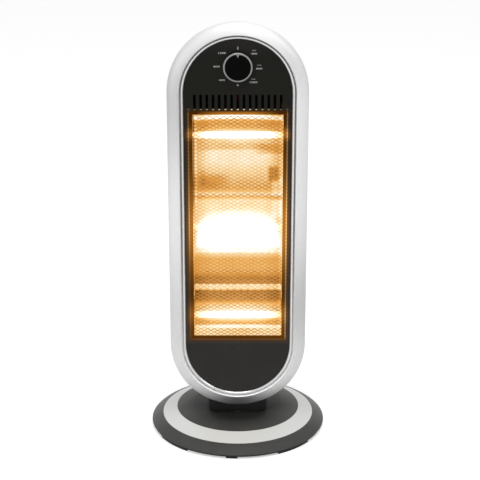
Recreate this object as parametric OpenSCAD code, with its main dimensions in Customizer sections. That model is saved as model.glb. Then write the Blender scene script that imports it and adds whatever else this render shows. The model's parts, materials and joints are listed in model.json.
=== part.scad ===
// Halogen heater: a tall round-ended head with three quartz lamps behind an expanded-metal guard.
// The head swings from side to side on a low round base. Millimetres, +Z up, the front faces -Y,
// the floor is z = 0 and the swivel axis is x = y = 0.

/* [Head] */
// Width of the head over its silver frame
head_w = 210; // [206:1:216]
// Height of the head's lowest point
head_low = 43.3; // [42.5:0.1:50]
// Height of the head's top
head_top = 652.1; // [645:0.1:680]
// Distance of the black panel's face in front of the swivel axis
panel_face = 40; // [38:0.5:44]
// Distance of the rear shell's back behind the swivel axis
shell_back = 52; // [50:1:60]
// Wall of the moulded frame and rear shell
shell_wall = 2.4; // [2:0.1:2.8]
// Thickness of the black panel
panel_t = 2.5; // [2:0.1:3]

/* [Silver frame] */
// Width of the silver band
band_w = 19; // [17:0.5:20]
// How far the band's crest stands in front of the panel
band_crest = 6; // [4:0.5:8]
// Width of the dark groove inside the band
groove_w = 1.8; // [1.2:0.1:2.5]
// Width of the bright trim ring round the panel
trim_w = 3.5; // [3:0.1:4.5]
// How far the trim ring stands in front of the panel
trim_rise = 2.4; // [1.5:0.1:3]

/* [Window] */
// Width of the panel's strip on each side of the window
window_side = 6.1; // [5.8:0.1:8.4]
// Height of the window's lower edge above the lower arc's centre
window_inset_low = 6.9; // [2:0.1:10]
// Depth of the window's upper edge below the upper arc's centre
window_inset_high = 26.1; // [20:0.1:30]
// Radius of the window's corners
window_corner = 3; // [2:0.5:5]

/* [Guard] */
// Width of the rim sheet round the guard
guard_rim = 1.4; // [1:0.1:2]
// Thickness of the expanded metal
mesh_t = 1; // [0.8:0.1:1.4]
// Plain border of the expanded metal
mesh_border = 5; // [3:0.5:7]
// Openings across the expanded metal
mesh_cols = 6; // [4:1:6]
// Full rows of openings up the expanded metal
mesh_rows = 26; // [16:1:27]
// Share of its cell that each diamond opening fills
mesh_open = 0.78; // [0.6:0.01:0.85]

/* [Vents] */
// Number of slots in the panel above the window
vent_count = 15; // [9:1:15]
// Pitch of the slots
vent_pitch = 9.1; // [8:0.1:9.2]
// Width of a slot
vent_w = 4; // [3:0.1:5]
// Height of a slot
vent_h = 22; // [12:0.5:24]
// Height of the slots above the window
vent_rise = 2.3; // [2:0.1:4]

/* [Lamps] */
// Height of the lowest lamp above the window's lower edge
lamp_first = 31.8; // [28:0.1:40]
// Pitch of the lamps
lamp_pitch = 145; // [120:1:146]
// Distance of the lamps in front of the swivel axis
lamp_front = 10; // [8:0.5:14]
// Outer radius of a quartz tube
quartz_r = 5; // [4.5:0.1:6]
// Wall of a quartz tube
quartz_wall = 1; // [0.8:0.1:1.5]
// Distance of a quartz tube's ends from the head's edge
lamp_end_gap = 21; // [20:0.5:25]
// Radius of the filament
filament_r = 1.2; // [0.8:0.1:1.6]
// Radius of a lamp's ceramic end
cap_r = 6.5; // [6:0.1:7]
// Length of a lamp's ceramic end
cap_len = 14; // [10:0.5:15]

/* [Reflector] */
// Thickness of the reflector and bracket sheet
sheet_t = 0.8; // [0.6:0.1:1.2]
// Depth of each curved bay of the reflector
bay_depth = 18; // [12:1:20]
// Distance of the ridges between the bays behind the lamps
ridge_back = 8; // [7:0.5:10]
// Height of each ridge above the lamp below it
ridge_rise = 55; // [45:1:65]
// Gap between the reflector and the heat shield
shield_gap = 8; // [5:0.5:10]

/* [Knob] */
// Height of the knob's axis above the upper arc's centre
knob_rise = 40; // [36:0.5:42]
// Radius of the knob's black face
knob_r = 19.2; // [16:0.1:20]
// Radius of the knob over its silver ring
knob_ring_r = 21.5; // [20.5:0.5:23]
// Height of the knob in front of the panel
knob_h = 9; // [8:0.5:14]
// Width of the pointer where it starts
pointer_w = 4; // [3:0.5:6]
// Length of the pointer
pointer_len = 4; // [3:0.5:7]
// Radius of the switch shaft
shaft_r = 3; // [2.5:0.1:3.2]

/* [Base] */
// Radius of the base
base_r = 137.5; // [136:0.5:145]
// Height of the base's flat top
base_top = 32.6; // [32:0.1:36]
// Width of the slope between the flat top and the base's edge
slope_w = 66.5; // [62:0.5:69]
// Wall of the base cover
base_wall = 2.5; // [2:0.1:3]
// Distance of the silver inlay ring from the base's edge
inlay_gap = 17.8; // [16:0.1:21]
// Width of the inlay ring in plan
inlay_w = 22.5; // [20:0.1:26]
// Height of the inlay ring's outer edge
inlay_out_z = 18; // [17:0.1:20]
// Height of the inlay ring's inner edge
inlay_in_z = 27.3; // [26:0.1:28.5]
// Thickness of the inlay ring
inlay_t = 1.2; // [0.8:0.1:1.5]
// Height of the feet
foot_h = 3.5; // [3:0.1:5]
// Angle that each rubber foot covers
foot_span = 26.5; // [20:0.5:32]
// Turn of the set of feet about the axis
foot_turn = -4; // [-10:0.5:10]
// Thickness of the bottom plate
plate_t = 2.5; // [2:0.1:3]

/* [Swivel] */
// Width of the neck at its foot
neck_w = 90; // [80:1:96]
// Depth of the neck at its foot
neck_d = 78; // [70:1:80]
// Height of the neck at its highest corners
neck_h = 41.5; // [38:0.5:46]
// Outer radius of the swivel tube
tube_r = 11.5; // [10.5:0.1:12.5]
// Wall of the swivel tube
tube_wall = 3; // [2.5:0.1:3.5]
// Radial clearance of the turning pieces
turn_gap = 0.3; // [0.25:0.05:0.5]
// Distance of the crank's axis from the swivel axis
crank_x = 44; // [42:0.5:46]
// Angle that the head turns each way
swing = 35; // [25:1:38]

/* [Tip switch] */
// Travel of the plunger
tip_travel = 6; // [4:0.5:6.5]
// Radius of the plunger's stem
tip_r = 3; // [2.5:0.1:3.5]
// Distance of the switch left of the swivel axis
tip_x = 52; // [46:1:60]

/* [Fasteners] */
// Radius of a screw's shank
screw_r = 1.75; // [1.5:0.05:2]
// Radius of a screw's head
screw_head_r = 3.5; // [3:0.1:3.8]
// Height of a screw's head
screw_head_h = 1.4; // [1.2:0.1:1.6]

/* [Hidden] */
$fn = 72;
fit = 0.3; // gap between moulded pieces that drop into each other
cut = 1; // overrun of a cut past a face
frame_r = head_w / 2;
arc_low = head_low + frame_r; // centres of the end arcs
arc_high = head_top - frame_r;
band_in_r = frame_r - band_w;
trim_r = band_in_r - groove_w;
panel_r = trim_r - trim_w - fit;
panel_back = panel_face - panel_t;
window_w = 2 * (panel_r - window_side);
crest_f = panel_face + band_crest;
seat_t = 2.5; // frame's ledge behind the panel
seat_in_r = panel_r - 3;
split_f = panel_face - 9; // parting plane of frame and rear shell
band_foot = panel_face - 7; // where the band's curve starts

window_low = arc_low + window_inset_low;
window_high = arc_high - window_inset_high;
window_h = window_high - window_low;
window_mid = (window_low + window_high) / 2;
vent_z = window_high + vent_rise;
knob_z = arc_high + knob_rise;

rim_w = window_w - 2 * fit; // guard rim, outside
rim_h = window_h - 2 * fit;
mesh_f = panel_back - 3; // back of the expanded metal
mesh_w = rim_w - 2 * guard_rim;
mesh_h = rim_h - 2 * guard_rim;
guard_flange = 2.4; // ledges of the guard rim

quartz_len = head_w - 2 * lamp_end_gap;
lamp_zs = [for (i = [0:2]) window_low + lamp_first + i * lamp_pitch];
cheek_x = mesh_w / 2 - mesh_border; // inner face of a lamp bracket
reflect_w = 2 * cheek_x - 2 * 0.2;
ridge_f = lamp_front - ridge_back;
reflect_low = window_low + 4;
reflect_high = window_high - 4;
bay_edges = [reflect_low, lamp_zs[0] + ridge_rise, lamp_zs[1] + ridge_rise, reflect_high];
box_front = mesh_f - 2.5; // front edge of the reflector box
shield_f = ridge_f - bay_depth - shield_gap;

base_flat_r = base_r - slope_w;
inlay_out_r = base_r - inlay_gap;
inlay_in_r = inlay_out_r - inlay_w;
plate_z = foot_h + plate_t; // top of the bottom plate
plate_r = base_r - 1.5;
edge_z = plate_z + 1.5; // top of the cover's short upright skirt
base_under = base_top - base_wall;
hub_r = tube_r + turn_gap;
bush_drop = 3; // length of the cover's bush below its underside
washer_t = 1;
lift = 0.2; // height clearance between the turning faces
neck_z = base_top + washer_t + lift;
swivel_top = base_under - bush_drop - washer_t - lift; // top of the swivel plate
swivel_t = 2.5;
crank_r = crank_x * sin(swing);
crank_t = 2;
pin_r = 2.5;
pin_rise = 0.5; // pin above the crank, short of the swivel plate
crank_z = swivel_top - swivel_t - lift - pin_rise - crank_t;
motor_r = 25;
motor_h = crank_z - plate_z - 0.6;
boss_r = 5;
boss_ring = base_r - 32.5; // radius at which the cover's screw bosses stand
boss_count = 6;
gland_z = plate_z + 4.8;
gland_r = 4.5;
gland_bore = 3.4;
gland_len = 22;
gland_out = base_r - 4;
block_y = base_r - 57.5; // front of the terminal block, near the gland
block_d = 16;
tip_y = 24;
tip_floor = plate_z + 4;
tip_head_z = tip_floor + tip_travel; // underside of the plunger's shoulder at rest
tip_head_t = 2;
tip_roof = tip_head_z + tip_head_t + 4;
tip_rest = 0.3; // plunger's tip above the floor
spring_wire = 0.4;
spring_turns = 4;
spring_r = 4;
neck_screw_x = 30;
neck_screw_y = 22;
tube_flange_r = 22;
tube_top = neck_z + 20.5; // the tube's upper end inside the neck
neck_screw_len = 26.5;
tab_r = panel_r - 11; // radius at which the panel's screws stand
tab_boss_r = 3.2;
tab_angle = 48; // from the vertical, seen from an end arc's centre
well_r = frame_r - 11; // radius at which the rear screws stand
well_out = 5;
well_front = split_f - 7;
well_sink = split_f - 27;
switch_r = 16;
switch_depth = 25;
bushing_r = 5;
nut_t = 2;
knob_gap = 0.6;
knob_foot = panel_face + knob_gap;
knob_front = panel_face + knob_h;
knob_ring_t = 3.2; // depth of the silver ring
pocket_w = 96;
pocket_h = 26;
pocket_d = 22;
pocket_z = arc_high + frame_r - 53;
louvre_w = 30;
louvre_h = 4.5;
louvre_pitch = 12;
louvre_rows = 9;
loom_r = 3.5;
loom_f = -(shell_back - 13);
loom_bend = 12;
loom_low_bend = -loom_f / 2;

// ---- shared shapes ----

// Points of a curve from a to c that leaves and arrives towards b
function bend(a, b, c, n = 8) =
    [for (i = [0:n]) let (t = i / n) (1 - t) * (1 - t) * a + 2 * t * (1 - t) * b + t * t * c];

// Drawn in the head's front view: x right, y up, z towards the viewer
module facing() {
    rotate([90, 0, 0]) children();
}

// A round-ended plate of the head
module stadium(r) {
    translate([-r, arc_low]) square([2 * r, arc_high - arc_low]);
    for (y = [arc_low, arc_high]) translate([0, y]) circle(r);
}

// A profile (distance from the end arcs' centres, height to the front) carried round the head
module stadium_sweep() {
    translate([0, arc_high, 0]) rotate_extrude(angle = 180) children();
    translate([0, arc_low, 0]) rotate([0, 0, 180]) rotate_extrude(angle = 180) children();
    for (side = [0, 1]) mirror([side, 0, 0])
        translate([0, arc_high, 0]) rotate([90, 0, 0]) linear_extrude(arc_high - arc_low) children();
}

// A plate seen from the front, from depth f, t thick
module slab(f, t) {
    translate([0, 0, f]) linear_extrude(t) children();
}

module rounded_rect(w, h, r) {
    square([w - 2 * r, h], center = true);
    square([w, h - 2 * r], center = true);
    for (x = [-1, 1], y = [-1, 1]) translate([x * (w / 2 - r), y * (h / 2 - r)]) circle(r);
}

// A screw whose head's underside is at z = 0, shank upwards
module screw(len) {
    translate([0, 0, -screw_head_h]) cylinder(r = screw_head_r, h = screw_head_h);
    cylinder(r = screw_r, h = len);
}

module ring_of(n, r, turn = 0) {
    for (i = [0:n - 1]) rotate([0, 0, turn + i * 360 / n]) translate([r, 0, 0]) children();
}

// Places of the eight screws that join the rear shell to the frame, in the front view
module well_spots() {
    for (side = [-1, 1]) {
        for (t = [1, 3]) translate([side * well_r, arc_low + (arc_high - arc_low) * t / 4, 0]) children();
        translate([side * well_r * sin(50), arc_high + well_r * cos(50), 0]) children();
        translate([side * well_r * sin(50), arc_low - well_r * cos(50), 0]) children();
    }
}

// Places of the panel's four screws on the frame's ledge
module tab_spots() {
    for (side = [-1, 1]) {
        translate([side * tab_r * sin(tab_angle), arc_high + tab_r * cos(tab_angle), 0]) children();
        translate([side * tab_r * sin(tab_angle), arc_low - tab_r * cos(tab_angle), 0]) children();
    }
}

// Four tabs that reach inwards from the frame's ledge
module tabs() {
    for (side = [-1, 1], end = [-1, 1]) translate([0, end > 0 ? arc_high : arc_low])
        rotate(end * 90 + side * tab_angle) {
            translate([tab_r, 0]) circle(6);
            translate([tab_r, -4.5]) square([seat_in_r - tab_r + 1, 9]);
        }
}

// Places of the four posts behind the panel that carry the lamp brackets
module post_spots() {
    for (side = [-1, 1], z = [window_low - 8, vent_z + vent_h / 2])
        translate([side * (panel_r - 8.4), z, 0]) children();
}

// ---- outlines of the head ----

band_outer = bend([frame_r, band_foot], [frame_r - 1, crest_f - 3.5], [band_in_r + 4, crest_f - 0.3]);
band_inner = bend([frame_r - shell_wall, band_foot], [frame_r - 1 - shell_wall, crest_f - 3.5 - shell_wall],
    [band_in_r + 4, crest_f - 0.3 - shell_wall]);
shell_r = frame_r - 0.4;
shell_flat_r = frame_r - 33;
function shell_curve(t) = bend([shell_r - t, split_f], [frame_r - 15 - t, 6 - shell_back],
    [shell_flat_r, t - shell_back], 10);

// Solid profile of the head behind the frame's front, for what fits against it
module head_profile() {
    polygon(concat([[0, crest_f]], [[band_in_r, crest_f]], [for (i = [8:-1:0]) band_outer[i]],
        [[frame_r, split_f]], shell_curve(0), [[0, -shell_back]]));
}

module shell_profile(t, over = 0) {
    polygon(concat([[0, split_f + over], [shell_r - t, split_f + over]], shell_curve(t), [[0, t - shell_back]]));
}

// ---- base ----

inlay_bend = [base_r - 6, edge_z + 6.4];
function skirt_curve(t) = bend([base_r - t, edge_z], inlay_bend - [t, t * 0.8],
    [inlay_out_r, inlay_out_z - t - (t > 0 ? inlay_t : 0)]);

module cover_outside() {
    rotate_extrude() polygon(concat([[0, plate_z], [base_r, plate_z]], skirt_curve(0),
        [[inlay_out_r, inlay_out_z - inlay_t], [inlay_in_r, inlay_in_z - inlay_t],
        [inlay_in_r, inlay_in_z], [base_flat_r, base_top], [0, base_top]]));
}

module cover_inside() {
    rotate_extrude() polygon(concat([[0, plate_z - cut], [base_r - base_wall, plate_z - cut]],
        skirt_curve(base_wall), [[inlay_in_r, inlay_in_z - inlay_t - base_wall],
        [base_flat_r, base_under], [0, base_under]]));
}

module base_cover() {
    color([0.29, 0.28, 0.27]) difference() {
        cover_outside();
        difference() {
            cover_inside();
            cylinder(r = hub_r + 4.2, h = base_top * 2, center = true);
            ring_of(boss_count, boss_ring) cylinder(r = boss_r, h = base_top);
        }
        translate([0, 0, -cut]) cylinder(r = hub_r + 4.2 + cut, h = base_under - bush_drop + cut);
        cylinder(r = hub_r, h = base_top * 3, center = true);
        ring_of(boss_count, boss_ring) cylinder(r = screw_r, h = plate_z + 10);
        translate([0, base_r + cut, gland_z]) rotate([90, 0, 0]) cylinder(r = gland_r, h = gland_len);
    }
}

module base_ring() {
    color([0.8, 0.8, 0.8]) rotate_extrude() polygon([[inlay_out_r, inlay_out_z - inlay_t],
        [inlay_out_r, inlay_out_z], [inlay_in_r, inlay_in_z], [inlay_in_r, inlay_in_z - inlay_t]]);
}

module base_plate() {
    color([0.2, 0.19, 0.18]) difference() {
        union() {
            translate([0, 0, foot_h]) cylinder(r = plate_r, h = plate_t);
            for (a = [0:90:270]) rotate([0, 0, a + foot_turn - 3.8]) rotate_extrude(angle = 7.6)
                translate([plate_r - 9, lift]) square([8, foot_h + plate_t / 2]);
        }
        ring_of(boss_count, boss_ring) {
            cylinder(r = screw_r + fit, h = plate_z + cut);
            cylinder(r = screw_head_r + fit, h = foot_h + screw_head_h + 0.1);
        }
        translate([-tip_x, tip_y, 0]) cylinder(r = tip_r + 0.5, h = plate_z + cut);
        for (s = [-1, 1]) translate([crank_x, s * (motor_r + 4), 0]) {
            cylinder(r = screw_r, h = plate_z + cut);
            cylinder(r = screw_head_r + fit, h = foot_h + screw_head_h + 0.1);
        }
    }
}

module foot_pads() {
    color([0.12, 0.12, 0.12]) for (a = [45:90:315]) rotate([0, 0, a + foot_turn - foot_span / 2])
        rotate_extrude(angle = foot_span) translate([plate_r - 9, 0]) square([8, foot_h]);
}

// Round inlet for the mains cord at the back of the base
module cord_gland() {
    color([0.1, 0.1, 0.1]) translate([0, gland_out, gland_z]) rotate([90, 0, 0]) difference() {
        union() {
            cylinder(r = gland_r, h = gland_len);
            translate([0, 0, gland_len - 4]) cylinder(r = gland_r + 0.2, h = 4);
        }
        translate([0, 0, -cut]) cylinder(r = gland_bore, h = gland_len + 2 * cut);
    }
}

module base_screws() {
    color([0.7, 0.7, 0.7]) ring_of(boss_count, boss_ring)
        translate([0, 0, foot_h + screw_head_h + 0.1]) screw(plate_z + 8 - foot_h);
}

// Slow geared motor that swings the head
module oscillation_motor() {
    color([0.75, 0.74, 0.7]) difference() {
        union() {
            translate([crank_x, 0, plate_z]) cylinder(r = motor_r, h = motor_h);
            for (s = [-1, 1]) translate([crank_x, s * (motor_r + 4), plate_z]) cylinder(r = 5, h = 3);
            translate([crank_x - 5, -motor_r - 6, plate_z]) cube([10, 2 * motor_r + 12, 3]);
        }
        translate([crank_x, 0, plate_z + 5]) cylinder(r = pin_r + turn_gap, h = motor_h);
        for (s = [-1, 1]) translate([crank_x, s * (motor_r + 4), plate_z - cut]) cylinder(r = screw_r, h = 6);
    }
}

module motor_screws() {
    color([0.7, 0.7, 0.7]) for (s = [-1, 1])
        translate([crank_x, s * (motor_r + 4), foot_h + screw_head_h + 0.1]) screw(plate_z - foot_h + 1);
}

module terminal_block() {
    color([0.9, 0.9, 0.86]) difference() {
        translate([-18, block_y, plate_z]) cube([36, block_d, 11]);
        for (x = [-12, 0, 12]) {
            translate([x, block_y - cut, plate_z + 4]) rotate([-90, 0, 0]) cylinder(r = 2, h = block_d + 2 * cut);
            translate([x, block_y + block_d / 2, plate_z + 4]) cylinder(r = 2.2, h = 8);
        }
    }
}

module tip_switch_body() {
    color([0.15, 0.15, 0.16]) difference() {
        translate([-tip_x - 11, tip_y - 9, plate_z]) cube([28, 18, tip_roof + 2 - plate_z]);
        translate([-tip_x, tip_y, 0]) {
            cylinder(r = tip_r + turn_gap, h = tip_roof);
            translate([0, 0, tip_floor]) cylinder(r = tip_r + 2.6, h = tip_roof - tip_floor);
        }
    }
}

// The plunger that the floor holds up, here pressed in
module tip_plunger() {
    color([0.85, 0.3, 0.15]) translate([-tip_x, tip_y, 0]) {
        translate([0, 0, tip_rest]) cylinder(r = tip_r, h = tip_head_z - tip_rest + tip_head_t / 2);
        translate([0, 0, tip_head_z]) cylinder(r = tip_r + 2.2, h = tip_head_t);
    }
}

// Spring between the plunger's shoulder and the roof of its switch
spring_sides = 6;
spring_steps = 12;
spring_low = tip_head_z + tip_head_t + spring_wire;
spring_rise = tip_roof - spring_wire - spring_low;
spring_rings = spring_turns * spring_steps;
module tip_switch_spring() {
    points = [for (i = [0:spring_rings], k = [0:spring_sides - 1])
        let (a = i * 360 / spring_steps, b = k * 360 / spring_sides, r = spring_r + spring_wire * cos(b))
        [r * cos(a), r * sin(a), spring_low + spring_rise * i / spring_rings + spring_wire * sin(b)]];
    sides = [for (i = [0:spring_rings - 1], k = [0:spring_sides - 1], half = [0, 1])
        let (m = (k + 1) % spring_sides, p = i * spring_sides, q = p + spring_sides)
        half == 0 ? [p + k, q + k, q + m] : [p + k, q + m, p + m]];
    last = spring_rings * spring_sides;
    ends = [[for (k = [0:spring_sides - 1]) k], [for (k = [spring_sides - 1:-1:0]) last + k]];
    color([0.75, 0.75, 0.78]) translate([-tip_x, tip_y, 0])
        polyhedron(points = points, faces = concat(sides, ends));
}

module bearing_ring() {
    color([0.9, 0.9, 0.88]) translate([0, 0, base_top]) difference() {
        cylinder(r = neck_d / 2 - 2, h = washer_t);
        translate([0, 0, -cut]) cylinder(r = hub_r + 2, h = washer_t + 2 * cut);
    }
}

module lower_washer() {
    color([0.9, 0.9, 0.88]) translate([0, 0, swivel_top + lift]) difference() {
        cylinder(r = hub_r + 4.2, h = washer_t);
        translate([0, 0, -cut]) cylinder(r = hub_r, h = washer_t + 2 * cut);
    }
}

// ---- crank that drives the swing ----

module crank_arm() {
    color([0.6, 0.6, 0.62]) difference() {
        translate([crank_x, 0, crank_z]) {
            cylinder(r = 7, h = crank_t);
            translate([-crank_r, -4.5, 0]) cube([crank_r, 9, crank_t]);
            translate([-crank_r, 0, 0]) {
                cylinder(r = 4.5, h = crank_t);
                cylinder(r = pin_r, h = crank_t + pin_rise);
            }
        }
        translate([crank_x, 0, crank_z - cut]) cylinder(r = pin_r, h = crank_t + 2 * cut);
    }
}

module motor_shaft() {
    color([0.7, 0.7, 0.72]) translate([crank_x, 0, plate_z + 6])
        cylinder(r = pin_r, h = crank_z + crank_t - plate_z - 6);
}

// ---- swivel ----

module neck_screw_spots() {
    for (x = [-1, 1], y = [-1, 1]) translate([x * neck_screw_x, y * neck_screw_y, 0]) children();
}

// Block between base and head, cut to a saddle under the head's end arc
module neck() {
    flare = 7;
    reach = neck_z + neck_h;
    color([0.09, 0.09, 0.09]) difference() {
        hull() {
            translate([0, 0, neck_z]) linear_extrude(1) rounded_rect(neck_w, neck_d, 12, $fn = 32);
            translate([0, 0, reach]) linear_extrude(1) rounded_rect(neck_w + flare, neck_d + 2, 12, $fn = 32);
        }
        facing() translate([0, arc_low, 0]) rotate_extrude() head_profile();
        cylinder(r = tube_r, h = arc_low);
        translate([0, 0, neck_z - cut]) cylinder(r = tube_flange_r, h = 2.5 + cut);
        neck_screw_spots() {
            translate([0, 0, neck_z - cut]) cylinder(r = screw_head_r + fit, h = 4 + cut);
            cylinder(r = screw_r, h = arc_low);
        }
    }
}

module neck_screws() {
    color([0.7, 0.7, 0.7]) neck_screw_spots() translate([0, 0, neck_z + 4]) screw(neck_screw_len);
}

// Steel tube that carries the head and lets the wires through
module swivel_tube() {
    color([0.72, 0.72, 0.74]) difference() {
        union() {
            translate([0, 0, swivel_top]) cylinder(r = tube_r, h = tube_top - swivel_top);
            translate([0, 0, neck_z]) cylinder(r = tube_flange_r, h = 2.5);
            translate([0, 0, swivel_top - swivel_t]) cylinder(r = tube_r - 1.5, h = swivel_t + cut);
        }
        cylinder(r = tube_r - tube_wall, h = arc_low);
    }
}

// Plate under the cover with the radial slot that the crank's pin works in
module swivel_plate() {
    slot_in = crank_x - crank_r - 2;
    slot_out = crank_x * cos(swing) + 3;
    slot_r = pin_r + turn_gap;
    color([0.68, 0.68, 0.7]) translate([0, 0, swivel_top - swivel_t]) linear_extrude(swivel_t) difference() {
        union() {
            circle(20);
            translate([0, -8]) square([slot_out + 2, 16]);
            translate([slot_out + 2, 0]) circle(8);
        }
        circle(tube_r - 1.5);
        translate([slot_in, -slot_r]) square([slot_out - slot_in, 2 * slot_r]);
        for (x = [slot_in, slot_out]) translate([x, 0]) circle(slot_r);
    }
}

// ---- head: frame, panel and shell ----

module front_frame() {
    lip_r = band_in_r + shell_wall;
    color([0.78, 0.79, 0.8]) facing() difference() {
        union() {
            stadium_sweep() polygon(concat([[frame_r, split_f]], band_outer,
                [[band_in_r + 1.2, crest_f], [band_in_r, crest_f - 1.2], [band_in_r, panel_back],
                [seat_in_r, panel_back], [seat_in_r, panel_back - seat_t], [lip_r, panel_back - seat_t]],
                [for (i = [8:-1:0]) band_inner[i]], [[frame_r - shell_wall, split_f]]));
            well_spots() slab(well_front, panel_face + 1.5 - well_front) circle(4.5);
            slab(panel_back - seat_t, seat_t) tabs();
        }
        well_spots() slab(well_front - cut, panel_face - 3 - well_front + cut) circle(screw_r);
        tab_spots() slab(panel_back - seat_t - cut, seat_t + 2 * cut) circle(tab_boss_r + fit);
    }
}

module trim_ring() {
    inner = trim_r - trim_w;
    color([0.86, 0.87, 0.87]) facing() stadium_sweep() polygon([[inner, panel_back], [trim_r, panel_back],
        [trim_r, panel_face + trim_rise - 0.6], [trim_r - 0.7, panel_face + trim_rise],
        [inner + 0.9, panel_face + trim_rise - 0.8], [inner, panel_face + 0.6]]);
}

module front_panel() {
    color([0.15, 0.145, 0.14]) facing() difference() {
        union() {
            slab(panel_back, panel_t) stadium(panel_r);
            tab_spots() slab(panel_back - seat_t, seat_t + fit) circle(tab_boss_r);
            post_spots() slab(box_front, panel_back + fit - box_front) circle(3.5);
        }
        slab(panel_back - cut, panel_t + 2 * cut) translate([0, window_mid])
            rounded_rect(window_w, window_h, window_corner);
        for (i = [0:vent_count - 1]) slab(panel_back - cut, panel_t + 2 * cut)
            translate([(i - (vent_count - 1) / 2) * vent_pitch - vent_w / 2, vent_z]) square([vent_w, vent_h]);
        slab(panel_back - cut, panel_t + 2 * cut) translate([0, knob_z]) circle(bushing_r);
        tab_spots() slab(panel_back - seat_t - cut, seat_t + cut + 1.5) circle(screw_r);
        post_spots() slab(box_front - cut, panel_back - box_front + cut + 1.5) circle(screw_r);
    }
}

// Screws with washer heads that hold the panel on the frame's tabs
module panel_screws() {
    color([0.7, 0.7, 0.7]) facing() tab_spots() translate([0, 0, panel_back - seat_t]) {
        translate([0, 0, -screw_head_h]) cylinder(r = tab_boss_r + 1.8, h = screw_head_h);
        cylinder(r = screw_r, h = seat_t + 1.5);
    }
}

// ---- guard ----

module guard_outline(grow) {
    translate([0, window_mid]) rounded_rect(rim_w + 2 * grow, rim_h + 2 * grow, window_corner);
}

// Folded rim that stands in the window and carries the expanded metal
module guard_frame() {
    color([0.7, 0.7, 0.7]) facing() {
        slab(mesh_f - 1, panel_face - 1 - mesh_f + 1) difference() {
            guard_outline(0);
            guard_outline(-guard_rim);
        }
        slab(mesh_f - 1, 1) difference() {
            guard_outline(0);
            guard_outline(-guard_rim - guard_flange);
        }
        slab(panel_back - 1.2, 1.2) difference() {
            guard_outline(guard_flange);
            guard_outline(-guard_rim / 2);
        }
    }
}

// Expanded metal: staggered diamond openings cut from one sheet, as many as fill the sheet
module guard_mesh() {
    cell_w = 2 * cheek_x / mesh_cols;
    cell_h = (mesh_h - 2 * mesh_border) / mesh_rows;
    a = mesh_open * cell_w / 2;
    b = mesh_open * cell_h / 2;
    centres = [for (j = [0:2 * mesh_rows - 2]) let (odd = j % 2)
        for (i = [0:mesh_cols - 1 - odd])
            [(i + (1 + odd) / 2) * cell_w - cheek_x, window_mid + (j + 1 - mesh_rows) * cell_h / 2]];
    sheet = [[-mesh_w / 2, window_mid - mesh_h / 2], [mesh_w / 2, window_mid - mesh_h / 2],
        [mesh_w / 2, window_mid + mesh_h / 2], [-mesh_w / 2, window_mid + mesh_h / 2]];
    diamonds = [for (c = centres, d = [[-a, 0], [0, -b], [a, 0], [0, b]]) c + d];
    color([0.8, 0.6, 0.35]) facing() slab(mesh_f, mesh_t) polygon(concat(sheet, diamonds),
        concat([[0, 1, 2, 3]], [for (n = [1:len(centres)]) [4 * n, 4 * n + 1, 4 * n + 2, 4 * n + 3]]));
}

// ---- lamps and reflector ----

// Drawn in side view (back to the right, height up) and carried w across, centred
module across(w) {
    translate([-w / 2, 0, 0]) rotate([90, 0, 90]) linear_extrude(w) children();
}

bay_steps = 8;
bay_line = concat([for (i = [0:2], k = [0:bay_steps - 1]) let (t = k / bay_steps)
    [bay_depth * 4 * t * (1 - t) - ridge_f, bay_edges[i] + (bay_edges[i + 1] - bay_edges[i]) * t]],
    [[-ridge_f, reflect_high]]);
bay_last = len(bay_line) - 1;

// Bright sheet with a curved bay behind each lamp and returns at top and bottom
module reflector() {
    color([0.95, 0.9, 0.8]) across(reflect_w) {
        polygon(concat(bay_line, [for (k = [bay_last:-1:0]) bay_line[k] + [sheet_t, 0]]));
        for (z = [reflect_low, reflect_high]) translate([-box_front, z - sheet_t / 2])
            square([box_front - ridge_f + sheet_t, sheet_t]);
    }
}

module lamp_bracket() {
    low = reflect_low - sheet_t;
    tall = reflect_high - reflect_low + 2 * sheet_t;
    ear_out = panel_r - 4.4;
    ear_low = window_low - 12;
    color([0.72, 0.68, 0.6]) facing() difference() {
        union() {
            translate([cheek_x, low, shield_f]) cube([sheet_t, tall, box_front - shield_f]);
            translate([cheek_x, ear_low, box_front - sheet_t])
                cube([ear_out - cheek_x, vent_z + vent_h / 2 + 4 - ear_low, sheet_t]);
        }
        for (z = lamp_zs) translate([cheek_x - cut, z, lamp_front]) rotate([0, 90, 0])
            cylinder(r = quartz_r + fit, h = sheet_t + 2 * cut);
        post_spots() slab(box_front - sheet_t - cut, sheet_t + 2 * cut) circle(screw_r);
    }
}

module lamp_bracket_left() {
    mirror([1, 0, 0]) lamp_bracket();
}

module lamp_bracket_right() {
    lamp_bracket();
}

module reflector_screws() {
    color([0.7, 0.7, 0.7]) facing() post_spots() translate([0, 0, box_front - sheet_t])
        screw(panel_back - box_front + sheet_t + 1.5);
}

module at_lamp(i) {
    translate([0, -lamp_front, lamp_zs[i]]) rotate([0, 90, 0]) children();
}

module quartz_tube(i) {
    color([0.98, 0.95, 0.85]) at_lamp(i) difference() {
        cylinder(r = quartz_r, h = quartz_len, center = true);
        cylinder(r = quartz_r - quartz_wall, h = quartz_len + cut, center = true);
    }
}

module quartz_tube_1() quartz_tube(0);
module quartz_tube_2() quartz_tube(1);
module quartz_tube_3() quartz_tube(2);

module filament(i) {
    color([1, 0.75, 0.35]) at_lamp(i) cylinder(r = filament_r, h = quartz_len - 8, center = true);
}

module filament_1() filament(0);
module filament_2() filament(1);
module filament_3() filament(2);

// Ceramic ends on all three lamps
module lamp_caps() {
    socket = 4;
    color([0.92, 0.9, 0.85]) for (i = [0:2], side = [-1, 1]) at_lamp(i) mirror([0, 0, side > 0 ? 0 : 1])
        translate([0, 0, quartz_len / 2 - socket]) difference() {
            cylinder(r = cap_r, h = cap_len);
            translate([0, 0, -cut]) cylinder(r = quartz_r, h = socket + cut);
        }
}

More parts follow.
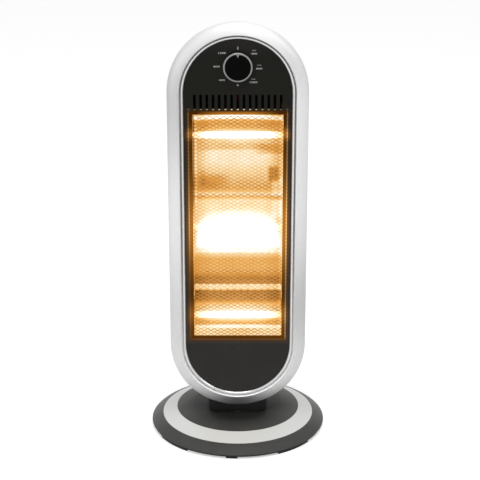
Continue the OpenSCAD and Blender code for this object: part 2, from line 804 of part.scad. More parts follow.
module heat_shield() {
    color([0.75, 0.75, 0.76]) facing() slab(shield_f - sheet_t, sheet_t)
        translate([0, window_mid]) rounded_rect(2 * cheek_x + 6, reflect_high - reflect_low + 6, 4);
}

// Over-heat switch on the back of the heat shield
module thermal_cutout() {
    color([0.85, 0.83, 0.78]) facing() translate([32, reflect_high - 36, shield_f - sheet_t]) {
        translate([0, 0, -6]) cylinder(r = 8, h = 6);
        for (s = [-1, 1]) translate([s * 5 - 0.4, -3, -12]) cube([0.8, 6, 7]);
    }
}

// ---- rear shell ----

module louvres() {
    bank = (louvre_rows - 1) * louvre_pitch;
    for (z0 = [window_low + 24, window_high - 24 - bank], row = [0:louvre_rows - 1], col = [-1:1])
        translate([col * (louvre_w + 8), z0 + row * louvre_pitch]) rounded_rect(louvre_w, louvre_h, louvre_h / 2 - 0.1);
}

// Domed back with slots, screw wells and a recessed grip for carrying
module rear_shell() {
    color([0.16, 0.155, 0.15]) difference() {
        facing() difference() {
            stadium_sweep() shell_profile(0);
            difference() {
                stadium_sweep() shell_profile(shell_wall, cut);
                well_spots() slab(-shell_back, well_front + shell_back) circle(well_out);
                slab(-shell_back, pocket_d + shell_wall) translate([0, pocket_z])
                    rounded_rect(pocket_w + 2 * shell_wall, pocket_h + 2 * shell_wall, 8);
            }
            slab(well_front, split_f + cut - well_front) well_spots() circle(well_out);
            well_spots() slab(-shell_back - cut, shell_back + split_f) circle(screw_r + fit);
            well_spots() slab(-shell_back - cut, shell_back + cut + well_sink) circle(screw_head_r + fit);
            slab(-shell_back - cut, pocket_d + cut) translate([0, pocket_z]) rounded_rect(pocket_w, pocket_h, 6);
            slab(-shell_back - cut, shell_wall + 2 * cut) louvres();
        }
        cylinder(r = tube_r, h = arc_low);
        neck_screw_spots() cylinder(r = screw_r, h = arc_low);
    }
}

module rear_screws() {
    color([0.3, 0.3, 0.3]) facing() well_spots() translate([0, 0, well_sink])
        screw(panel_face - 4 - well_sink);
}

// ---- switch and wiring ----

module rotary_switch() {
    color([0.85, 0.84, 0.8]) facing() translate([0, knob_z, 0]) difference() {
        union() {
            slab(panel_back - switch_depth, switch_depth) circle(switch_r);
            slab(panel_back, panel_t + nut_t + 0.5) circle(bushing_r);
        }
        slab(panel_back - switch_depth + 8, switch_depth + 8) circle(shaft_r + turn_gap);
    }
}

module switch_nut() {
    color([0.75, 0.75, 0.76]) facing() slab(panel_face, nut_t) translate([0, knob_z]) difference() {
        circle(8, $fn = 6);
        circle(bushing_r);
    }
}

// Bundle of wires from the switch down behind the heat shield into the swivel tube
module wiring_loom() {
    back = -loom_f;
    start_z = knob_z - 9;
    low_z = tube_top + 2;
    color([0.35, 0.12, 0.1]) rotate([90, 0, 90]) {
        translate([switch_depth - panel_back, start_z, 0]) rotate([0, 90, 0])
            cylinder(r = loom_r, h = back - loom_bend - switch_depth + panel_back);
        translate([back - loom_bend, start_z - loom_bend, 0]) rotate_extrude(angle = 90)
            translate([loom_bend, 0]) circle(loom_r);
        translate([back, start_z - loom_bend, 0]) rotate([90, 0, 0])
            cylinder(r = loom_r, h = start_z - loom_bend - low_z - 2 * loom_low_bend);
        translate([loom_low_bend, low_z + 2 * loom_low_bend, 0]) rotate([0, 0, -90])
            rotate_extrude(angle = 90) translate([loom_low_bend, 0]) circle(loom_r);
        translate([loom_low_bend, low_z, 0]) rotate([0, 0, 90])
            rotate_extrude(angle = 90) translate([loom_low_bend, 0]) circle(loom_r);
        translate([0, low_z, 0]) rotate([90, 0, 0]) cylinder(r = loom_r, h = low_z - swivel_top);
    }
}

// ---- knob ----

module at_knob() {
    translate([0, 0, knob_z]) rotate([90, 0, 0]) children();
}

module knob_cap() {
    hub_f = panel_face + nut_t + 1;
    skin = 2.2;
    ring_in = knob_r;
    color([0.06, 0.06, 0.06]) at_knob() rotate_extrude() polygon([
        [shaft_r, hub_f], [shaft_r + 3, hub_f], [shaft_r + 3, knob_front - skin],
        [knob_ring_r - 1.6 * skin, knob_front - skin - knob_ring_t], [knob_ring_r - 1.6 * skin, knob_foot],
        [knob_ring_r, knob_foot], [knob_ring_r, knob_front - knob_ring_t],
        [ring_in, knob_front - knob_ring_t], [ring_in, knob_front - 0.5], [ring_in - 0.5, knob_front],
        [0, knob_front], [0, knob_front - 1], [shaft_r, knob_front - 1]]);
}

// Silver ring let into the front edge of the knob
module knob_ring() {
    front = knob_front - 0.8;
    color([0.55, 0.56, 0.57]) at_knob() rotate_extrude() polygon([
        [knob_r, knob_front - knob_ring_t], [knob_ring_r, knob_front - knob_ring_t],
        [knob_ring_r, front - 0.8], [knob_ring_r - 0.8, front], [knob_r, front]]);
}

// Raised arrow that points from the ring towards the knob's centre
module knob_pointer() {
    foot_r = knob_r - 0.4; // just short of the ring
    color([0.6, 0.6, 0.6]) at_knob() slab(knob_front, 0.3)
        polygon([[-pointer_w / 2, foot_r], [0, foot_r - pointer_len], [pointer_w / 2, foot_r]]);
}

module switch_shaft() {
    color([0.7, 0.7, 0.7]) at_knob() slab(panel_back - switch_depth + 8.5,
        knob_front - 1 - panel_back + switch_depth - 8.5) circle(shaft_r);
}

base_cover();
base_ring();
base_plate();
foot_pads();
cord_gland();
base_screws();
oscillation_motor();
motor_screws();
terminal_block();
tip_switch_body();
tip_switch_spring();
bearing_ring();
lower_washer();
tip_plunger();
crank_arm();
motor_shaft();
neck();
neck_screws();
swivel_tube();
swivel_plate();
front_frame();
trim_ring();
front_panel();
panel_screws();
guard_frame();
guard_mesh();
reflector();
reflector_screws();
lamp_bracket_left();
lamp_bracket_right();
quartz_tube_1();
quartz_tube_2();
quartz_tube_3();
filament_1();
filament_2();
filament_3();
lamp_caps();
heat_shield();
thermal_cutout();
rear_shell();
rear_screws();
rotary_switch();
switch_nut();
wiring_loom();
knob_cap();
knob_ring();
knob_pointer();
switch_shaft();
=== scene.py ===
import json
import math

import bmesh
import bpy
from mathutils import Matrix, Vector


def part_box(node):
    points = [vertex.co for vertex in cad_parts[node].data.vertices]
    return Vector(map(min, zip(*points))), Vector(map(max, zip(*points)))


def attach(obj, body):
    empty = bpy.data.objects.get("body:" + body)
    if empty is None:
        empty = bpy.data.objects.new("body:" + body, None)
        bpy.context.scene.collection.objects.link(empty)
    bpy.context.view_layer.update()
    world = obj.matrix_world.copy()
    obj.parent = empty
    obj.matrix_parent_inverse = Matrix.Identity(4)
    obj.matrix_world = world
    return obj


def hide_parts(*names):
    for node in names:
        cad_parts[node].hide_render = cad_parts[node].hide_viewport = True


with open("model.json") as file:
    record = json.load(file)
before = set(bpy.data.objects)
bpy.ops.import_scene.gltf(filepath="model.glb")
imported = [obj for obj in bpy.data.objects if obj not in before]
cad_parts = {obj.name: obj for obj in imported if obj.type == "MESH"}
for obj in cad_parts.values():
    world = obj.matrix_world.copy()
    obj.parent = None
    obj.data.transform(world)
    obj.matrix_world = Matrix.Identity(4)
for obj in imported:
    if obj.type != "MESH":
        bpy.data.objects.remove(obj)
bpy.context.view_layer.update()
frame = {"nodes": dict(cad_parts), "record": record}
cadNodes = frame["nodes"]
print("heater frame loaded:", len(cadNodes), "nodes")

# camera

cameraSet = {
    "place": (0.0, -2.040, 1.001),  # metres
    "tilt": 71.21,  # degrees from straight down
    "lens": 104.4,  # mm
    "sensor": 36.0,  # mm
    "shiftX": 0.0046,
    "clip": (0.05, 60.0),  # metres, the nearest and the furthest that is seen
}


def setCamera(values):
    data = bpy.data.cameras.new("frontCamera")
    data.lens = values["lens"]
    data.sensor_width = values["sensor"]
    data.shift_x = values["shiftX"]
    data.clip_start, data.clip_end = values["clip"]
    camera = bpy.data.objects.new("frontCamera", data)
    camera.location = values["place"]
    camera.rotation_euler = (math.radians(values["tilt"]), 0.0, 0.0)
    bpy.context.scene.collection.objects.link(camera)
    bpy.context.scene.camera = camera


setCamera(cameraSet)
bpy.context.scene.view_settings.view_transform = "Standard"
print("camera set")

# node helpers

black = (0.0, 0.0, 0.0, 1.0)
white = (1.0, 1.0, 1.0, 1.0)
noiseRange = (0.3, 0.7)  # where most of a noise texture lies
midRange = (0.35, 0.65)  # a narrower part of it, for more contrast


def addNode(tree, kind, inputs=None, **settings):
    node = tree.nodes.new("ShaderNode" + kind)
    for key, value in settings.items():
        setattr(node, key, value)
    for key, value in (inputs or {}).items():
        if isinstance(value, bpy.types.NodeSocket):
            tree.links.new(value, node.inputs[key])
        else:
            node.inputs[key].default_value = value
    return node


def sums(tree, operation, *values):
    return addNode(tree, "Math", dict(enumerate(values)), operation=operation).outputs[0]


def times(tree, first, *others):
    for value in others:
        first = sums(tree, "MULTIPLY", first, value)
    return first


def squares(tree, first, second):
    return sums(tree, "ADD", times(tree, first, first), times(tree, second, second))


def howFar(tree, value, middle):
    return sums(tree, "ABSOLUTE", sums(tree, "SUBTRACT", value, middle))


def spread(tree, value, low, high, toLow, toHigh, smooth=False):
    kind = "SMOOTHSTEP" if smooth else "LINEAR"
    return addNode(tree, "MapRange", {
        "Value": value, "From Min": low, "From Max": high, "To Min": toLow, "To Max": toHigh,
    }, interpolation_type=kind).outputs["Result"]


def tinted(colour, factor=1.0, lift=0.0):
    return (*[min(1.0, c * factor + lift) for c in colour], 1.0)


def blendColour(tree, factor, first, second):
    # on a colour mix, socket 0 is the factor, and 6 and 7 are the colours
    return addNode(tree, "Mix", {0: factor, 6: first, 7: second}, data_type="RGBA").outputs[2]


def startGroup(name, inputs, outputs):
    tree = bpy.data.node_groups.new(name, "ShaderNodeTree")
    for socketName, kind, value in inputs:
        socket = tree.interface.new_socket(name=socketName, in_out="INPUT", socket_type="NodeSocket" + kind)
        socket.default_value = value
    for socketName, kind in outputs:
        tree.interface.new_socket(name=socketName, in_out="OUTPUT", socket_type="NodeSocket" + kind)
    return tree, tree.nodes.new("NodeGroupInput").outputs, tree.nodes.new("NodeGroupOutput").inputs


def place(tree, group, **values):
    return addNode(tree, "Group", values, node_tree=group).outputs


def objectPlace(tree):
    return addNode(tree, "TexCoord").outputs["Object"]


def objectParts(tree):
    # x, y and z of the place on the object
    return addNode(tree, "SeparateXYZ", {0: objectPlace(tree)}).outputs


def facingParts(tree):
    # x, y and z of the direction that the surface looks in
    return addNode(tree, "SeparateXYZ", {0: addNode(tree, "NewGeometry").outputs["Normal"]}).outputs


def noise(tree, scale, detail=2.0, roughness=0.5, where=None):
    return addNode(tree, "TexNoise", {
        "Vector": where or objectPlace(tree), "Scale": scale, "Detail": detail, "Roughness": roughness,
    }).outputs[0]


def startMaterial(name, **plain):
    material = bpy.data.materials.new(name)
    material.use_nodes = True
    tree = material.node_tree
    tree.nodes.clear()
    shader = tree.nodes.new("ShaderNodeBsdfPrincipled")
    for key, value in plain.items():
        shader.inputs[key].default_value = value
    output = tree.nodes.new("ShaderNodeOutputMaterial")
    tree.links.new(shader.outputs[0], output.inputs[0])
    return material, tree, shader


def feed(tree, shader, **sockets):
    for key, socket in sockets.items():
        tree.links.new(socket, shader.inputs[key.replace("_", " ")])


def bump(tree, height, strength, distance):
    return addNode(tree, "Bump", {"Height": height, "Strength": strength, "Distance": distance}).outputs[0]


# shared effects

effectSet = {
    "cellShare": 0.6,  # of round cells in the moulded grain
    "cloudScale": 9.0,  # slow changes in silver paint
    "dustFacing": (0.35, 0.95),  # how far a face looks up where dust starts and where it is full
    "dustPatches": (0.4, 0.75, 0.1, 1.0),
    "dustScale": 60.0,
    "edgeTurn": (0.99, 0.75),  # rounded against real normal where an edge starts and where it is full
    "edgeWear": (0.35, 0.6, 0.2, 1.0),
    "edgeScale": 220.0,
}


def makeMouldGrain(values):
    # spark-eroded texture of moulded plastic, with a slow drift of tone
    tree, given, made = startGroup("mouldGrain", [("Size", "Float", 1500.0), ("Drift", "Float", 18.0)],
                                   [("Height", "Float"), ("Tone", "Float"), ("Speck", "Float")])
    fine = noise(tree, given["Size"], detail=3.0, roughness=0.6)
    cells = addNode(tree, "TexVoronoi", {"Vector": objectPlace(tree), "Scale": given["Size"]}, feature="SMOOTH_F1")
    slow = noise(tree, given["Drift"])
    bumps = times(tree, cells.outputs["Distance"], values["cellShare"])
    tree.links.new(sums(tree, "ADD", fine, bumps), made["Height"])
    tree.links.new(spread(tree, slow, *noiseRange, 0.0, 1.0), made["Tone"])
    tree.links.new(spread(tree, fine, *midRange, 0.0, 1.0), made["Speck"])
    return tree


def makePaintFlake(values):
    # metal flakes in silver paint
    tree, given, made = startGroup("paintFlake", [("Size", "Float", 900.0)],
                                   [("Glint", "Float"), ("Height", "Float"), ("Cloud", "Float")])
    cells = addNode(tree, "TexVoronoi", {"Vector": objectPlace(tree), "Scale": given["Size"]})
    glint = addNode(tree, "SeparateColor", {0: cells.outputs["Color"]}).outputs[0]
    tree.links.new(glint, made["Glint"])
    tree.links.new(cells.outputs["Distance"], made["Height"])
    tree.links.new(noise(tree, values["cloudScale"]), made["Cloud"])
    return tree


def makeBrushing():
    # drawing lines of sheet metal: Stretch is large across the lines and small along them
    tree, given, made = startGroup("brushing", [("Stretch", "Vector", (1.0, 1.0, 1.0))],
                                   [("Height", "Float"), ("Tone", "Float")])
    where = addNode(tree, "VectorMath", {0: objectPlace(tree), 1: given["Stretch"]}, operation="MULTIPLY").outputs[0]
    lines = noise(tree, 1.0, detail=4.0, roughness=0.65, where=where)
    tree.links.new(lines, made["Height"])
    tree.links.new(spread(tree, lines, *noiseRange, 0.0, 1.0), made["Tone"])
    return tree


def makeSettledDust(values):
    # dust on faces that look up
    tree, given, made = startGroup("settledDust", [("Amount", "Float", 0.3)], [("Mask", "Float")])
    facing = spread(tree, facingParts(tree)[2], *values["dustFacing"], 0.0, 1.0, smooth=True)
    patches = spread(tree, noise(tree, values["dustScale"], detail=5.0, roughness=0.7), *values["dustPatches"])
    tree.links.new(times(tree, facing, patches, given["Amount"]), made["Mask"])
    return tree


def makeRubbedEdge(values):
    # edges where handling has polished or lightened the surface
    tree, given, made = startGroup("rubbedEdge", [("Width", "Float", 0.0008), ("Amount", "Float", 0.5)],
                                   [("Mask", "Float")])
    soft = addNode(tree, "Bevel", {"Radius": given["Width"]}, samples=4).outputs[0]
    sharp = addNode(tree, "NewGeometry").outputs["Normal"]
    turn = addNode(tree, "VectorMath", {0: soft, 1: sharp}, operation="DOT_PRODUCT").outputs["Value"]
    edge = spread(tree, turn, *values["edgeTurn"], 0.0, 1.0)
    worn = spread(tree, noise(tree, values["edgeScale"], detail=3.0), *values["edgeWear"])
    tree.links.new(times(tree, edge, worn, given["Amount"]), made["Mask"])
    return tree


mouldGrain = makeMouldGrain(effectSet)
paintFlake = makePaintFlake(effectSet)
brushing = makeBrushing()
settledDust = makeSettledDust(effectSet)
rubbedEdge = makeRubbedEdge(effectSet)
print("shared effects made")

# light of the lamps on what is near them

lampLight = {
    "baseLevel": 0.55,
    "drift": (45.0, 0.03),  # scale and strength of slow changes of the level
    "sideShade": (0.040, 0.066, 0.03, -0.09),  # from here, to here, change of the level at each
    "strand": (0.20, 0.56, -0.28, 0.32),  # from level to level, how much darker a strand is than what is behind it
    "bow": 0.065,  # metres from the middle, where a band has dropped by its full amount
    # lower edge, upper edge, softness of each, drop of each edge at the sides,
    # then middle across, reach, softness of the sides, gain
    "bands": {
        "topSides": (0.4830, 0.5060, 0.0020, 0.0020, 0.000, 0.000, 0.0, 0.090, 0.1, -0.09),
        "topMiddle": (0.4830, 0.5060, 0.0020, 0.0020, 0.000, 0.000, 0.0, 0.034, 0.6, 0.09),
        "topShade": (0.5060, 0.5300, 0.0020, 0.0020, 0.000, 0.000, 0.0, 0.090, 0.1, -0.30),
        "topStreak": (0.4975, 0.5050, 0.0018, 0.0010, 0.003, 0.003, 0.0, 0.075, 0.2, 0.48),
        "underStreak": (0.4870, 0.4990, 0.0020, 0.0020, 0.000, 0.003, 0.0, 0.090, 0.2, -0.06),
        "lampThree": (0.4630, 0.4785, 0.0110, 0.0050, -0.009, 0.005, 0.0, 0.072, 0.4, 0.41),
        "highPeach": (0.3980, 0.4650, 0.0120, 0.0060, 0.000, 0.000, 0.0, 0.090, 0.1, 0.14),
        "highPale": (0.4160, 0.4475, 0.0160, 0.0022, -0.004, 0.003, 0.0, 0.058, 0.22, 0.165),
        "rightDim": (0.4405, 0.4560, 0.0020, 0.0020, 0.000, 0.000, 0.054, 0.024, 0.5, -0.17),
        "leftPatch": (0.3920, 0.4080, 0.0080, 0.0050, 0.000, 0.000, -0.046, 0.022, 0.8, -0.30),
        "leftBar": (0.3940, 0.4150, 0.0030, 0.0020, 0.000, 0.000, -0.054, 0.004, 0.5, -0.10),
        "rightPatch": (0.4000, 0.4210, 0.0040, 0.0030, 0.000, 0.000, 0.0553, 0.0076, 0.4, -0.44),
        "rightPale": (0.3760, 0.4050, 0.0040, 0.0030, 0.000, 0.000, 0.061, 0.009, 0.5, 0.20),
        "leftGleam": (0.3650, 0.5200, 0.0120, 0.0020, 0.000, 0.000, -0.0640, 0.0022, 0.5, 0.16),
        "leftEdge": (0.3600, 0.5200, 0.0250, 0.0020, 0.000, 0.000, -0.0690, 0.0026, 0.5, -0.55),
        "rightGleam": (0.1600, 0.5200, 0.0020, 0.0020, 0.000, 0.000, 0.0665, 0.0025, 0.5, 0.14),
        "ridgeLine": (0.3780, 0.3850, 0.0020, 0.0030, 0.000, 0.000, 0.0, 0.070, 0.3, 0.22),
        "overBurst": (0.2825, 0.3730, 0.0014, 0.0050, 0.000, 0.002, 0.0, 0.090, 0.2, 0.27),
        "rightWarm": (0.3400, 0.3700, 0.0060, 0.0040, 0.000, 0.000, 0.0600, 0.0075, 0.5, 0.12),
        "burstFoot": (0.2825, 0.2960, 0.0014, 0.0040, 0.000, 0.002, 0.0, 0.066, 0.20, 0.16),
        "burst": (0.2950, 0.3330, 0.0045, 0.0300, 0.002, 0.014, 0.0, 0.0600, 0.16, 0.95),
        "underBurst": (0.2760, 0.2825, 0.0040, 0.0012, 0.000, 0.000, 0.0, 0.090, 0.1, 0.18),
        "ridgeShade": (0.2325, 0.2500, 0.0010, 0.0060, 0.000, 0.000, 0.0, 0.090, 0.1, -0.35),
        "paleRidge": (0.2215, 0.2325, 0.0012, 0.0010, 0.000, 0.000, 0.0, 0.090, 0.1, 0.26),
        "lowShade": (0.1990, 0.2200, 0.0050, 0.0012, 0.000, 0.000, 0.0, 0.090, 0.1, -0.40),
        "lampOne": (0.1715, 0.1920, 0.0050, 0.0120, -0.003, 0.006, 0.0, 0.072, 0.4, 0.42),
        "lowPeach": (0.1450, 0.1600, 0.0020, 0.0020, 0.000, 0.000, 0.0, 0.090, 0.1, -0.13),
        "lowStreak": (0.1595, 0.1655, 0.0010, 0.0014, 0.001, 0.001, 0.0, 0.076, 0.2, 0.37),
    },
    # the haze under the burst: its middle, two half heights, and the share of the strands' contrast left in it
    "glare": (0.2715, 0.0100, 0.0180, 0.50),
    "sparkleScale": 330.0,  # scale of the painted glints along a strand: short stretches that are brighter or darker
    "sparkle": 0.05,  # how much brighter or darker they are
    "paleStrand": (0.66, 0.92, 1.0, 0.45),  # from level to level, share of the strands' contrast left
    "strength": 1.3,
    # what a level looks like, in light that the camera sees
    "colours": [
        (0.0, (0.040, 0.012, 0.001)), (0.2, (0.34, 0.125, 0.014)), (0.4, (0.71, 0.305, 0.050)),
        (0.6, (0.90, 0.495, 0.150)), (0.8, (0.97, 0.78, 0.46)), (0.9, (1.02, 0.93, 0.74)), (1.0, (1.3, 1.27, 1.18)),
    ],
    # burst and lamps as the rim and the panel's edge show them: height, half height, gain
    "rimSpots": {
        "burst": (0.335, 0.060, 0.80), "lampThree": (0.485, 0.008, 0.55), "lampOne": (0.197, 0.018, 0.45),
        "middle": (0.400, 0.080, 0.10), "low": (0.165, 0.012, 0.12),
    },
}


def lampColour(colour):
    # brought down by the strength that all lamp light is given
    return (*[c / lampLight["strength"] for c in colour], 1.0)


def makeGlowBand(values):
    # one band of light or shade across the window
    names = ["Across", "Up", "Low", "High", "SoftLow", "SoftHigh", "DropLow", "DropHigh",
             "Middle", "Reach", "Fade", "Gain"]
    tree, given, made = startGroup("glowBand", [(name, "Float", 0.0) for name in names], [("Level", "Float")])
    share = sums(tree, "DIVIDE", given["Across"], values["bow"])
    bow = times(tree, share, share)

    def edge(height, drop, soft, below, above):
        height = sums(tree, "SUBTRACT", height, times(tree, bow, drop))
        over = sums(tree, "SUBTRACT", given["Up"], height)
        return spread(tree, over, times(tree, soft, -1.0), soft, below, above, smooth=True)

    overLow = edge(given["Low"], given["DropLow"], given["SoftLow"], 0.0, 1.0)
    underHigh = edge(given["High"], given["DropHigh"], given["SoftHigh"], 1.0, 0.0)
    side = howFar(tree, given["Across"], given["Middle"])
    near = times(tree, given["Reach"], sums(tree, "SUBTRACT", 1.0, given["Fade"]))
    far = times(tree, given["Reach"], sums(tree, "ADD", 1.0, given["Fade"]))
    wide = spread(tree, side, near, far, 1.0, 0.0, smooth=True)
    tree.links.new(times(tree, overLow, underHigh, wide, given["Gain"]), made["Level"])
    return tree


def makeLampGlow(values):
    # colour of the lamps' light at a place in the window
    tree, given, made = startGroup("lampGlow", [
        ("Shift", "Float", 0.0), ("Share", "Float", 1.0), ("Strand", "Float", 0.0),
    ], [("Color", "Color")])
    bandGroup = makeGlowBand(values)
    spot = objectParts(tree)
    up = sums(tree, "ADD", spot[2], given["Shift"])
    scale, strength = values["drift"]
    drift = spread(tree, noise(tree, scale), *noiseRange, -strength, strength)
    level = sums(tree, "ADD", values["baseLevel"], drift)
    level = sums(tree, "ADD", level, spread(tree, sums(tree, "ABSOLUTE", spot[0]), *values["sideShade"]))
    for low, high, softLow, softHigh, dropLow, dropHigh, middle, reach, fade, gain in values["bands"].values():
        band = place(tree, bandGroup, Across=spot[0], Up=up, Low=low, High=high, SoftLow=softLow, SoftHigh=softHigh,
                     DropLow=dropLow, DropHigh=dropHigh, Middle=middle, Reach=reach, Fade=fade, Gain=gain)["Level"]
        level = sums(tree, "ADD", level, band)
    level = times(tree, level, given["Share"])
    # strands are darker than pale places behind them and lighter than brown ones
    darker = times(tree, spread(tree, level, *values["strand"]), spread(tree, level, *values["paleStrand"]))
    middle, within, beyond, left = values["glare"]
    darker = times(tree, darker, spread(tree, howFar(tree, up, middle), within, beyond, left, 1.0))
    # painted glints along the strands
    sparkle = spread(tree, noise(tree, values["sparkleScale"], detail=1.0), *midRange, -values["sparkle"], values["sparkle"])
    darker = sums(tree, "ADD", darker, sparkle)
    level = sums(tree, "SUBTRACT", level, times(tree, darker, given["Strand"]))
    ramp = addNode(tree, "ValToRGB", {0: level})
    elements = ramp.color_ramp.elements
    while len(elements) < len(values["colours"]):
        elements.new(0.5)
    for element, (position, colour) in zip(elements, values["colours"]):
        element.position = position
        element.color = lampColour(colour)
    tree.links.new(ramp.outputs[0], made["Color"])
    return tree


def makeRimGlow(values):
    # warm light on the guard's rim and on the panel beside it, strongest beside the burst
    tree, given, made = startGroup("rimGlow", [("Faint", "Float", 0.1)], [("Level", "Float")])
    up = objectParts(tree)[2]
    level = given["Faint"]
    for height, half, gain in values["rimSpots"].values():
        off = sums(tree, "DIVIDE", sums(tree, "SUBTRACT", up, height), half)
        bell = sums(tree, "EXPONENT", times(tree, off, off, -1.0))
        level = sums(tree, "ADD", level, times(tree, bell, gain))
    tree.links.new(level, made["Level"])
    return tree


rimGlow = makeRimGlow(lampLight)
lampGlow = makeLampGlow(lampLight)
print("lamp light made")

# finishes

mouldSet = {
    "speck": (0.3, 1.5),  # share and brightness of the grain's bright points
    "rubbed": (1.6, 0.03),  # an edge's colour: so many times as bright, and this much more
    "dust": (0.45, 0.43, 0.40, 1.0),
    "rear": (0.6, 0.6, 0.58, 1.0),  # what the base pales to: painted light at its rear
    "roughSpan": 0.06,
    "polish": 0.15,  # how much smoother a rubbed edge is
    "grainDepth": 0.0004,  # metres
}


def mouldedPlastic(name, colour, roughness=0.5, grain=1500.0, depth=0.25, dust=0.04, wear=0.3, tone=0.08, shine=0.5,
                   shade=None):
    material, tree, shader = startMaterial(name, **{"Specular IOR Level": shine})
    texture = place(tree, mouldGrain, Size=grain)
    base = blendColour(tree, texture["Tone"], tinted(colour, 1 - tone), tinted(colour, 1 + tone))
    share, brightness = mouldSet["speck"]
    base = blendColour(tree, times(tree, texture["Speck"], share), base, tinted(colour, brightness))
    edge = place(tree, rubbedEdge, Amount=wear)["Mask"]
    base = blendColour(tree, edge, base, tinted(colour, *mouldSet["rubbed"]))
    base = blendColour(tree, place(tree, settledDust, Amount=dust)["Mask"], base, mouldSet["dust"])
    if shade:  # painted shade in the head's shelter and towards the front, painted light at the rear
        spot = objectParts(tree)
        away = sums(tree, "SQRT", squares(tree, spot[0], spot[1]))
        base = blendColour(tree, spread(tree, away, *shade["shelter"], smooth=True), base, black)
        base = blendColour(tree, spread(tree, spot[1], *shade["front"]), base, black)
        base = blendColour(tree, spread(tree, spot[1], *shade["rear"]), base, mouldSet["rear"])
    span = mouldSet["roughSpan"]
    rough = spread(tree, texture["Tone"], 0.0, 1.0, roughness - span, roughness + span)
    feed(tree, shader, Base_Color=base, Roughness=sums(tree, "SUBTRACT", rough, times(tree, edge, mouldSet["polish"])),
         Normal=bump(tree, texture["Height"], depth, mouldSet["grainDepth"]))
    return material


# painted shade and painted light on the front of the head, and the groove round its band, painted light at its foot
# and painted shade higher up
headSet = {
    "arcLow": 0.1483, "arcHigh": 0.5471,  # metres, centres of the end arcs
    "groove": {
        "edge": (0.0864, 0.0868),  # metres from the band's middle line: the groove's painted tint within the first, paint beyond the second
        "foot": (1.0, 1.0, 1.0), "above": (0.46, 0.46, 0.46),  # painted light at the foot, painted shade further up
        "heights": (0.10, 0.34),  # where it turns from the one to the other
    },
    "shades": {  # place, reach, and gain: painted shade below zero, painted light above zero
        "upperLeft": (-0.095, 0.540, 0.110, -0.31), "lowerLeft": (-0.095, 0.200, 0.100, -0.18),
        "upperRight": (0.095, 0.600, 0.045, -0.16), "lowerRight": (0.095, 0.215, 0.090, -0.30),
        "foot": (0.0, 0.060, 0.050, -0.84), "crown": (0.02, 0.640, 0.05, 0.30),
    },
}


def shadeHead(tree, base, values):
    spot = objectParts(tree)
    for x, z, reach, gain in values["shades"].values():
        square = squares(tree, sums(tree, "SUBTRACT", spot[0], x), sums(tree, "SUBTRACT", spot[2], z))
        bell = sums(tree, "EXPONENT", sums(tree, "DIVIDE", square, -reach * reach))
        base = blendColour(tree, times(tree, bell, abs(gain)), base, black if gain < 0 else white)
    middle, half = (values["arcLow"] + values["arcHigh"]) / 2, (values["arcHigh"] - values["arcLow"]) / 2
    over = sums(tree, "MAXIMUM", sums(tree, "SUBTRACT", howFar(tree, spot[2], middle), half), 0.0)
    away = sums(tree, "SQRT", squares(tree, spot[0], over))
    groove = values["groove"]
    change = spread(tree, spot[2], *groove["heights"], 0.0, 1.0)
    tint = blendColour(tree, change, tinted(groove["foot"]), tinted(groove["above"]))
    return blendColour(tree, spread(tree, away, *groove["edge"], 1.0, 0.0), base, tint)


paintSet = {
    "shine": 0.4,
    "flakes": (0.95, 1.05),  # darkest and brightest
    "cloud": (0.04, 0.9),  # share and brightness of slow patches
    "rubbed": (0.2, (0.85, 0.85, 0.86, 1.0)),  # share and colour of the edges
    "roughSpan": 0.05,
    "bump": (0.05, 0.0002),  # strength, and depth in metres
}


def silverPaint(name, colour, roughness=0.5, flake=2600.0, metal=0.25, head=None):
    material, tree, shader = startMaterial(name, **{"Metallic": metal, "Specular IOR Level": paintSet["shine"]})
    flakes = place(tree, paintFlake, Size=flake)
    base = blendColour(tree, flakes["Glint"], *[tinted(colour, factor) for factor in paintSet["flakes"]])
    share, brightness = paintSet["cloud"]
    base = blendColour(tree, spread(tree, flakes["Cloud"], *midRange, 0.0, share), base, tinted(colour, brightness))
    wear, rubbed = paintSet["rubbed"]
    base = blendColour(tree, place(tree, rubbedEdge, Amount=wear)["Mask"], base, rubbed)
    if head:
        base = shadeHead(tree, base, head)
    span = paintSet["roughSpan"]
    rough = spread(tree, flakes["Glint"], 0.0, 1.0, roughness + span, roughness - span)
    feed(tree, shader, Base_Color=base, Roughness=rough, Normal=bump(tree, flakes["Height"], *paintSet["bump"]))
    return material


platedSet = {
    "lines": (0.82, 1.1),  # darkest and brightest
    "dust": (0.1, (0.4, 0.37, 0.33, 1.0)),  # amount and colour
    "unlit": (0.04, 0.04, 0.04, 1.0),
    "roughSpan": (-0.07, 0.1),
    "bump": (0.15, 0.0003),
}


def platedMetal(name, colour, roughness, stretch, dark=None):
    material, tree, shader = startMaterial(name, **{"Metallic": 1.0})
    lines = place(tree, brushing, Stretch=stretch)
    base = blendColour(tree, lines["Tone"], *[tinted(colour, factor) for factor in platedSet["lines"]])
    amount, dust = platedSet["dust"]
    base = blendColour(tree, place(tree, settledDust, Amount=amount)["Mask"], base, dust)
    if dark:  # heights between which it turns dark, as painted shade
        base = blendColour(tree, spread(tree, objectParts(tree)[2], *dark, 0.0, 1.0), base, platedSet["unlit"])
    rough = spread(tree, lines["Tone"], 0.0, 1.0, *[roughness + change for change in platedSet["roughSpan"]])
    feed(tree, shader, Base_Color=base, Roughness=rough, Normal=bump(tree, lines["Height"], *platedSet["bump"]))
    return material


rimLow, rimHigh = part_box("guard_frame")
rimHidden = 0.0021  # metres of the guard's flange that hide behind the panel
windowEdges = {"low": rimLow.z + rimHidden, "high": rimHigh.z - rimHidden, "side": rimHigh.x - rimHidden}
windowEdges["middle"] = (windowEdges["low"] + windowEdges["high"]) / 2
windowEdges["half"] = (windowEdges["high"] - windowEdges["low"]) / 2

